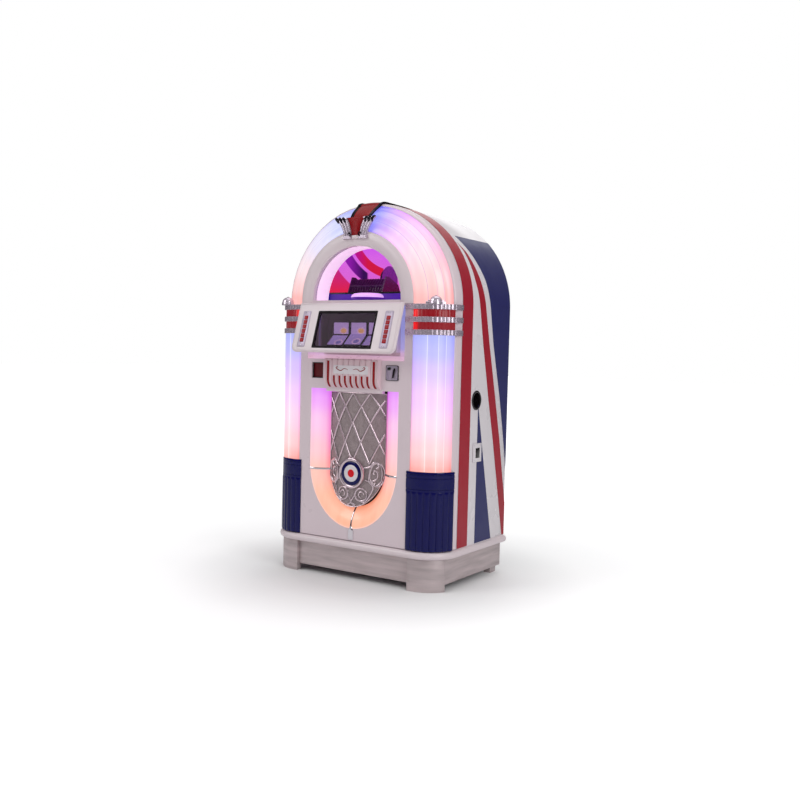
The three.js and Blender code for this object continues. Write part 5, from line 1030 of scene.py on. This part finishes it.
def build_keys():
    cap = ((0, -3.4), (0, 3.4), (0.4, 4.3), (1.2, 4.9), (3.2, 5.0), (5.0, 4.6))
    head = [(0.01, 3.6), (2.2, 3.4), (3.4, 2.6), (3.6, 1.9)]
    for hand, word in HANDS:
        x = hand * KEY_X
        plate = moved(front(rounded(x - 18.6, x + 18.6, 22.4, 171.6, 4), -0.2, 2.0),
                      lambda px, py, pz: on_face(px, pz, py))
        middles = [KEY_LOW + KEY_PITCH * k for k in range(KEY_COUNT)]
        made = piece(f"key_plate_{word}", plate, SILVER, bevel=0.5)
        carve(made, *(face_block(x - 8.9, x + 8.9, v - 8.6, v + 8.6, -4, 4) for v in middles))
        for v in (28.5, 165.5):
            screw = moved(lathe(head, (x, v, 0), "z", 20), on_face)
            piece(f"key_plate_screw_{word}_{int(v)}", screw, CHROME)
        for k, v in enumerate(reversed(middles), 1):
            rings = [[on_face(px, pv, out) for px, pv in
                      rounded(x - 8.3 + inset, x + 8.3 - inset, v - 8.0 + inset, v + 8.0 - inset,
                              max(1.4 - inset * 0.2, 0.4), 4)] for inset, out in cap]
            key = f"key_{word}_{k}"
            piece(f"key_cap_{word}_{k}", loft(rings), KEY_RED, key, key, angle=50)


def build_console():
    build_recess()
    build_hood()
    build_keys()
    rim = loft([[on_face(x, v, out) for x, v in
                 rounded(-142.7 + i, 142.7 - i, 19.1 + i, 172.4 - i, 5 - i * 0.3, 4)]
                for i, out in ((0, -6), (0, 0.2), (1, 0.6), (7.6, 0.1), (9, -0.9), (9, -6))], loop=True)
    piece("display_border", rim, BORDER, angle=40)
    piece("display_pane", face_block(-134, 134, 28, 163.4, -5.8, -3.2), SCREEN_GLASS, "display_window")


def card_frame(x, ends, radius):
    """A wire round a card whose lower and upper edges are (y, z) points."""
    reach = CARD_HALF + 1.5
    (y0, z0), (y1, z1) = ends
    path = [(x - reach, y0, z0), (x + reach, y0, z0), (x + reach, y1, z1), (x - reach, y1, z1)]
    return tube(path, radius, 6, closed=True)


def card_uv(x, low, tall):
    return lambda px, py, pz: ((px - x + CARD_HALF) / (2 * CARD_HALF), (pz - low) / tall)


def build_cards():
    dress("title_rack", CARDS)
    dress("title_page", PAGE_CARD)
    upper_y, (lower_y, lower_z), (end_y, end_z) = 24.6, (22.5, 972.6), (-20, 933.8)
    for k in range(3):
        x = (k - 1) * CARD_PITCH
        left, right = x - CARD_HALF, x + CARD_HALF
        piece(f"card_upper_{k}", block(left, right, upper_y, upper_y + 1.2, CARD_LOW + 2, CARD_HIGH - 2),
              UPPER_CARD, uv=card_uv(x, CARD_LOW, CARD_HIGH - CARD_LOW))
        wire = card_frame(x, ((upper_y, CARD_LOW), (upper_y, CARD_HIGH)), 1.5)
        piece(f"card_frame_{k}", wire, CHROME, angle=50)
        if k == 1:
            continue
        run = [(lower_y - 0.7, lower_z + 0.8), (end_y - 0.7, end_z + 0.8), (end_y + 0.1, end_z - 0.1),
               (lower_y + 0.1, lower_z - 0.1)]
        piece(f"card_lower_{k}", side(run, left, right), LOWER_CARD, uv=card_uv(x, 933, 40))
        piece(f"card_lower_frame_{k}",
              card_frame(x, ((lower_y - 1, lower_z + 1), (end_y - 1, end_z + 1)), 1.3), CHROME, angle=50)


# Selector and coin parts
SHELF_OUT, SHELF_TOP, SHELF_LOW, SHELF_TURN, SHELF_ROUND = 24, 881, 764, 36, 5
RIB_PITCH, RIB_COUNT, RIB_DEEP, SHELF_HALF = 27.0, 9, 8.0, 130.0
PLATE_OUT = -25.6


def selector_profile(inset=0.0):
    """Side outline of the selector as (y, z): a shelf that turns in below."""
    reach, top = SHELF_OUT - inset, SHELF_TOP - inset
    points = [(-0.3, top)]
    points += [(SHELF_ROUND * (1 - math.sin(a)) - reach, top - SHELF_ROUND * (1 - math.cos(a)))
               for a in span(0, PI / 2, 6)]
    for t in span(0, 1, 12)[1:]:
        first, second, third = (1 - t) ** 2, 2 * t * (1 - t), t * t
        points.append((-reach * (first + second) - 0.3 * third,
                       SHELF_LOW + SHELF_TURN * (first + second / 3)))
    return points


def hugging(x0, x1, top):
    """A raised strip that follows the selector's face down and round its lower turn."""
    line = [(-SHELF_OUT, top)] + [(y, z) for y, z in selector_profile()[1:] if 767 < z < min(top, 801)]
    edge = ((x0, 0.8), (x0, 1.05), (x0 + 0.9, 1.5), (x1 - 0.9, 1.5), (x1, 1.05), (x1, 0.8))
    rings = []
    for k, (y, z) in enumerate(line):
        y0, z0 = line[max(k - 1, 0)]
        y1, z1 = line[min(k + 1, len(line) - 1)]
        size = math.hypot(y1 - y0, z1 - z0)
        ny, nz = (z1 - z0) / size, (y0 - y1) / size
        rings.append([(x, y + ny * out, z + nz * out) for x, out in edge])
    return loft(rings)


def build_selector():
    ends = RIB_COUNT * RIB_PITCH / 2
    marks = [(-SHELF_HALF, 0.6), (1.5 - SHELF_HALF, 0.0)]
    for k in range(RIB_COUNT):
        for t in (0.0, 0.04, 0.09, 0.15, 0.3, 0.5, 0.7, 0.85, 0.91, 0.96):
            if k or t:
                marks.append((RIB_PITCH * (k + t) - ends, RIB_DEEP * (1 - math.sin(PI * t) ** 0.3)))
    marks += [(SHELF_HALF - 1.5, 0.0), (SHELF_HALF, 0.6)]
    rings = [[(x, y, z) for y, z in selector_profile(inset) + [(-0.3, SHELF_LOW)]] for x, inset in marks]
    piece("selector_ribs", loft(rings), RIBBED, "selector_panel", angle=45)
    plate = front(rounded(-84, 84, 821, 855, 5), PLATE_OUT, -20)
    piece("selector_name_plate", plate, WHITE, bevel=1.0, segments=3)
    for k in range(7):
        x = (k - 3) * RIB_PITCH
        piece(f"selector_mark_{k}", hugging(x - 4.6, x + 4.6, 814), RED_GLOSS, angle=40)
    pair("selector_line_{}", hugging(105.6, 116.4, 872), RED_GLOSS, angle=40)
    flourish = [(12, 838), (30, 842), (46, 834), (62, 838), (70, 845), (64, 849), (60, 844)]
    curl = spline([(x, PLATE_OUT - 0.2, z) for x, z in flourish])
    pair("selector_flourish_{}", tube(curl, swell(0.7, 1.1), 6), RED_GLOSS)


def build_coin_parts():
    dress("coin_return_cup", BLACK)
    dress("coin_return_flap", FLAP_RED, bevel=0.5)
    dress("coin_bezel", SILVER, bevel=0.8)
    dress("reject_button", GLOSS_BLACK, bevel=0.6)
    steps = ((0, -0.4), (0, -4.3), (0.6, -4.8), (2.2, -4.8), (2.6, -4.3), (2.6, -0.4))
    line = loft([[(x, y, z) for x, z in rounded(153.6 + i, 210.4 - i, 801.6 + i, 860.4 - i, 4)]
                 for i, y in steps], loop=True)
    slot = front([(183, 812), (190, 812), (197, 850), (190, 850)], -4.7, -3.6)
    piece("bezel_slot", slot, BORDER, bevel=0.4)
    piece("bezel_outline", line, GLOSS_BLACK, angle=40)


# Grille
SCREEN_HALF, SCREEN_TOP, SCREEN_LOW, SCREEN_DROP = 131.8, 744.8, 297.3, 166.8
LATTICE_TOP, LATTICE_PITCH = 749, 75
MEDALLION_Z = 428
STRAP_Z = 431


def bow(x, z, proud):
    """A point on the bowed grille surface, so far in front of the mesh."""
    r = G_R + proud
    return (x, G_R - math.sqrt(max(r * r - x * x, 0.0)), z)


def inside_u(x, z, less=3.0):
    half, drop = G_HALF - less, G_DROP - less
    if z > U_Z:
        return abs(x) < half and z < LATTICE_TOP - less
    return (x / half) ** 2 + ((U_Z - z) / drop) ** 2 < 1


def build_screen():
    rows = []
    for a in span(0, PI / 2, 40):
        z = SCREEN_TOP - (SCREEN_TOP - SCREEN_LOW) * math.sin(a)
        below = max(1 - ((U_Z - z) / SCREEN_DROP) ** 2, 0)
        half = SCREEN_HALF if z > U_Z else max(SCREEN_HALF * math.sqrt(below), 1.5)
        spread = [half * t for t in span(-1, 1, 48)]
        rows.append([bow(x, z, -0.1) for x in spread] + [bow(x, z, -3) for x in reversed(spread)])
    piece("grille_screen", loft(rows), SCREEN, "grille_mesh", angle=50)


def lattice_bars():
    rows = [LATTICE_TOP + (470 - LATTICE_TOP) * share for share in (0, 0.195, 0.43, 0.71, 1)]
    for row, (z0, z1) in enumerate(zip(rows, rows[1:])):
        for k in range(-2, 3):
            for lean in (-0.5, 0.5):
                x0 = (k + (row % 2) / 2) * LATTICE_PITCH
                ends = ((x0 + lean * LATTICE_PITCH * t, z0 + (z1 - z0) * t) for t in span(0, 1, 16))
                path = [bow(x, z, 2.6) for x, z in ends if inside_u(x, z)]
                if len(path) > 2:
                    yield tube(path, 3.6, 8, flat=0.8)


def scroll(points, width, steps=8):
    """A curled leaf on the grille, and its mirror image."""
    curve = spline([(x, 0, z) for x, z in points], steps)
    path = [bow(x, z, 3.0) for x, _, z in curve if abs(x) < G_HALF - 1]
    part = tube(path, swell(width * 0.31, width * 0.19), 8, flat=0.55)
    return merge(part, mirror(part))


def build_scrolls():
    scrolls = [scroll(arc(107, 428, 28, 46, 0, 2 * PI, 12), 7.5, 4),
               scroll(arc(43, 346, 25, 25, 0, 2 * PI, 12), 8, 4),
               scroll(arc(46, 345, 12, 12, 0, 1.5 * PI, 6), 6, 4)]
    for width, points in (
            (9, [(56, 452), (79, 459), (93, 475), (104, 476), (112, 462), (104, 452)]),
            (9, [(79, 452), (76, 404), (92, 381), (79, 346), (60, 318), (43, 320)]),
            (7, [(18, 346), (0, 315), (17, 304), (6, 298)]),
            (8, [(60, 405), (84, 400), (104, 412), (108, 436), (98, 444), (92, 434), (97, 428)]),
            (6, [(118, 470), (124, 440), (120, 402), (104, 384), (96, 392), (103, 398)])):
        scrolls.append(scroll(points, width))
    piece("lattice_scrolls", merge(*scrolls), LATTICE, angle=50)


def strap_run(stations, edge):
    """A strap over the cove: (x, share, z) places, with an edge as (depth, x shift, z shift) of each."""
    return loft([[(x + dx * half, COVE_DEEP * share ** 2 - d, z + dz) for d, dx, dz in edge]
                 for x, share, z, half in stations])


def build_straps():
    """Two straps at the sides, one below the medallion and its tab."""
    shares = span(0, 1, 12)
    across = []
    for share in shares:
        half, drop = U_HALF + (G_HALF - U_HALF) * share, U_DROP + (G_DROP - U_DROP) * share
        across.append((half * math.sqrt(1 - ((U_Z - STRAP_Z) / drop) ** 2), share, STRAP_Z, 1))
    flat = ((0.5, 0, -4), (2.2, 0, -4), (3.2, 0, -2.4), (3.2, 0, 2.4), (2.2, 0, 4), (0.5, 0, 4))
    strap = strap_run(across, flat)
    down = [(0, share, 206 + 87 * share, 4.6 - 1.4 * math.sin(PI * share)) for share in span(0, 1, 16)]
    upright = ((0.5, -1, 0), (2.4, -1, 0), (3.6, -0.5, 0), (3.6, 0.5, 0), (2.4, 1, 0), (0.5, 1, 0))
    tab = [(0, 0, z, half) for z, half in ((162, 11), (163, 12.2), (168, 12.5), (190, 12.5), (199, 12),
                                           (204, 10), (209, 6.5), (214, 4.6))]
    crowned = ((0.3, -1, 0), (2.2, -1, 0), (4.4, -0.55, 0), (4.9, 0, 0), (4.4, 0.55, 0), (2.2, 1, 0),
               (0.3, 1, 0))
    parts = merge(mirror(strap), strap, strap_run(down, upright), strap_run(tab, crowned))
    piece("grille_straps", parts, CHROME, angle=50)


def build_medallion():
    centre = (0, 0, MEDALLION_Z)
    profile = [(0.01, -0.4), (61, -0.4), (61, -5), (59.5, -8.6), (56, -10), (52, -9.6), (49.6, -8),
               (48, -6.4), (0.01, -6.2)]
    peak = tube([(-14, -6, 486), (0, -7, 497), (14, -6, 486)], swell(2.0, 2.6), 8)
    piece("medallion_rim", merge(lathe(profile, centre, "y", 96), peak), LATTICE, "medallion", angle=40)
    for word, r, y, mat in (("blue", 48, -7.2, NAVY), ("white", 34, -7.7, WHITE),
                            ("red", 16.0, -8.3, BADGE_RED)):
        face = [(0.01, y - 0.5), (r * 0.7, y - 0.42), (r - 0.8, y - 0.2), (r, y + 0.5), (r, y + 1.4),
                (0.01, y + 1.4)]
        piece(f"medallion_{word}", lathe(face, centre, "y", 72), mat, angle=50)


def build_grille():
    build_screen()
    dress("speaker", FOAM)
    piece("lattice_bars", merge(*lattice_bars()), LATTICE, "grille_lattice", angle=50)
    build_scrolls()
    bowl = [u_place(G_HALF - 1.8, G_DROP - 1.8, row) for row in u_stations(72, 10)]
    rim = tube([bow(x, min(z, 747.4), 1.4) for x, z in bowl], 2.2, 8)
    top = tube([bow(x, 747, 1.8) for x in span(-134, 134, 24)], 2.4, 8)
    piece("lattice_rim", merge(rim, top), LATTICE, angle=50)
    build_straps()
    build_medallion()


# Inside the window and behind the door
def build_inside():
    dress("mechanism_deck", DECK, bevel=0.6)
    dress("disc_platter", DISC, angle=30)
    dress("backdrop_panel", BACKDROP, angle=60)
    for mat, bevel, names in ((BLACK, 0.8, ("player_carriage", "amplifier")), (STEEL, 0.8, ("cash_box",)),
                              (STEEL, 0.0, ("carriage_rails", "cabinet_hinge", "door_hinge")),
                              (FRONT_WHITE, 0.0, ("door_frame",)), (GLASS, 0.0, ("window_glass",)),
                              (RACK_DARK, 0.0, ("disc_rack",))):
        for name in names:
            dress(name, mat, bevel=bevel)
    jamb = [(211.6, 21), (211.6, 97), (210.2, 97), (210.2, 21)]
    piece("window_jamb_lining", arch_sweep(jamb, 1112.6, 72), JAMB, angle=40)
    line = [(103.2, 1143.4), (103.2, 1150.4), (106, 1150.6), (106, 1150.1), (103.9, 1149.6), (103.9, 1143.4)]
    piece("deck_edge", side(line, -206, 206), GLOSS_BLACK, body="cabinet", angle=40)
    saucer = ((69.4, 1127.1), (72, 1127.1), (72.4, 1130.4), (68, 1137), (60, 1142.4), (46, 1144.8),
              (20, 1145.4))
    rings = [[(x, y, z) for x, y in arc(-10, 103.6, reach, reach, PI, 2 * PI, 40)] for reach, z in saucer]
    piece("tray_dish", loft(rings), TRAY, body="cabinet", angle=50)


# Stage
FLOOR_REACH = 30
AZIMUTH, PITCH, ROLL = (math.radians(a) for a in (33.25, 3.02, 1.37))
CAMERA_AT = (2.20318, -3.24285, 0.92036)
CAMERA_LENS, CAMERA_SENSOR = 42.64, 36.0
LAMPS = (("key", (-2.6, -3.6, 3.2), (0, 0, 0.8), (2.4, 2.4), 58),
         ("fill", (4.2, -1.6, 2.4), (0, 0, 0.8), (2.0, 2.6), 66),
         ("top", (0.2, 0.4, 4.2), (0, 0, 0), (3.0, 3.0), 36),
         ("rear", (-1.0, 4.0, 2.4), (0, 0, 0.7), (2.4, 2.4), 24))


def build_floor():
    """A pale floor that grows white with the distance, as the camera sees it; near the base it stays darker
    as a painted contact shadow.
    """
    look = Finish("pale_floor")
    away = look.node("VectorMath", {0: look.coords()}, operation="LENGTH").outputs["Value"]
    # Painted shadow: no lift near the base, so the floor stays darker round it.
    lift = look.ramp(look.times(away, 0.2), [(0.07, 0.0), (0.17, 0.3), (0.9, 1.0)])
    seen = look.node("LightPath").outputs["Is Camera Ray"]
    look.wear({"Base Color": look.mix(look.noise(1.5), (0.86, 0.86, 0.87, 1), (0.9, 0.9, 0.9, 1)),
               "Roughness": look.varied(look.noise(4.0), 0.55, 0.65), "Specular IOR Level": 0.1,
               "Emission Color": tone(1.0), "Emission Strength": look.times(seen, lift)})
    corners = [(x * FLOOR_REACH, y * FLOOR_REACH, 0) for x, y in ((-1, -1), (1, -1), (1, 1), (-1, 1))]
    mesh = plain_mesh("floor", corners, [(0, 1, 2, 3)])
    mesh.materials.append(look.mat)
    link("floor", mesh)


def build_world():
    """A soft studio for the light and its reflections, and plain white for the camera."""
    world = bpy.data.worlds.new("studio")
    bpy.context.scene.world = world
    world.use_nodes = True
    look = Look(world.node_tree)
    back = look.tree.nodes["Background"]
    up = look.split(look.node("TexCoord").outputs["Generated"])["Z"]
    sky = look.ramp(look.add(look.times(up, 0.5), 0.5),
                    [(0.0, 0.7), (0.46, (0.5, 0.48, 0.5, 1)), (0.52, (0.2, 0.18, 0.21, 1)),
                     (0.62, (0.5, 0.48, 0.52, 1)), (0.8, 1.0), (1.0, 1.0)])
    look.feed(back.inputs["Color"], sky)
    look.feed(back.inputs["Strength"], 0.45)
    plain = look.node("Background", {"Color": tone(1.0), "Strength": 1.0})
    path = look.node("LightPath").outputs["Is Camera Ray"]
    both = look.node("MixShader", {0: path, 1: back.outputs[0], 2: plain.outputs[0]})
    look.feed(look.tree.nodes["World Output"].inputs["Surface"], both.outputs[0])


def build_lamps():
    for name, where, aim, size, watts in LAMPS:
        data = bpy.data.lights.new(name, "AREA")
        data.shape, data.size, data.size_y = "RECTANGLE", size[0], size[1]
        data.energy = watts
        made = link(name, data)
        made.location = where
        made.rotation_euler = (Vector(aim) - Vector(where)).to_track_quat("-Z", "Y").to_euler()


def build_camera():
    flat = math.cos(PITCH)
    ahead = Vector((-math.sin(AZIMUTH) * flat, math.cos(AZIMUTH) * flat, -math.sin(PITCH)))
    level = Vector((math.cos(AZIMUTH), math.sin(AZIMUTH), 0))
    upright = level.cross(ahead)
    right = level * math.cos(ROLL) + upright * math.sin(ROLL)
    up = upright * math.cos(ROLL) - level * math.sin(ROLL)
    data = bpy.data.cameras.new("camera")
    data.lens, data.sensor_width = CAMERA_LENS, CAMERA_SENSOR
    camera = link("camera", data)
    camera.matrix_world = Matrix.Translation(CAMERA_AT) @ Matrix((right, up, -ahead)).transposed().to_4x4()
    bpy.context.scene.camera = camera


for build in (build_shell, build_art, build_moulding, build_plinth, build_lock, build_columns,
              build_arch_light, build_u_light, build_boots, build_bands, build_ring, build_crown,
              build_console, build_cards, build_selector, build_coin_parts, build_grille, build_inside,
              build_floor, build_world, build_lamps, build_camera):
    build()
bpy.context.scene.view_settings.view_transform = "Standard"
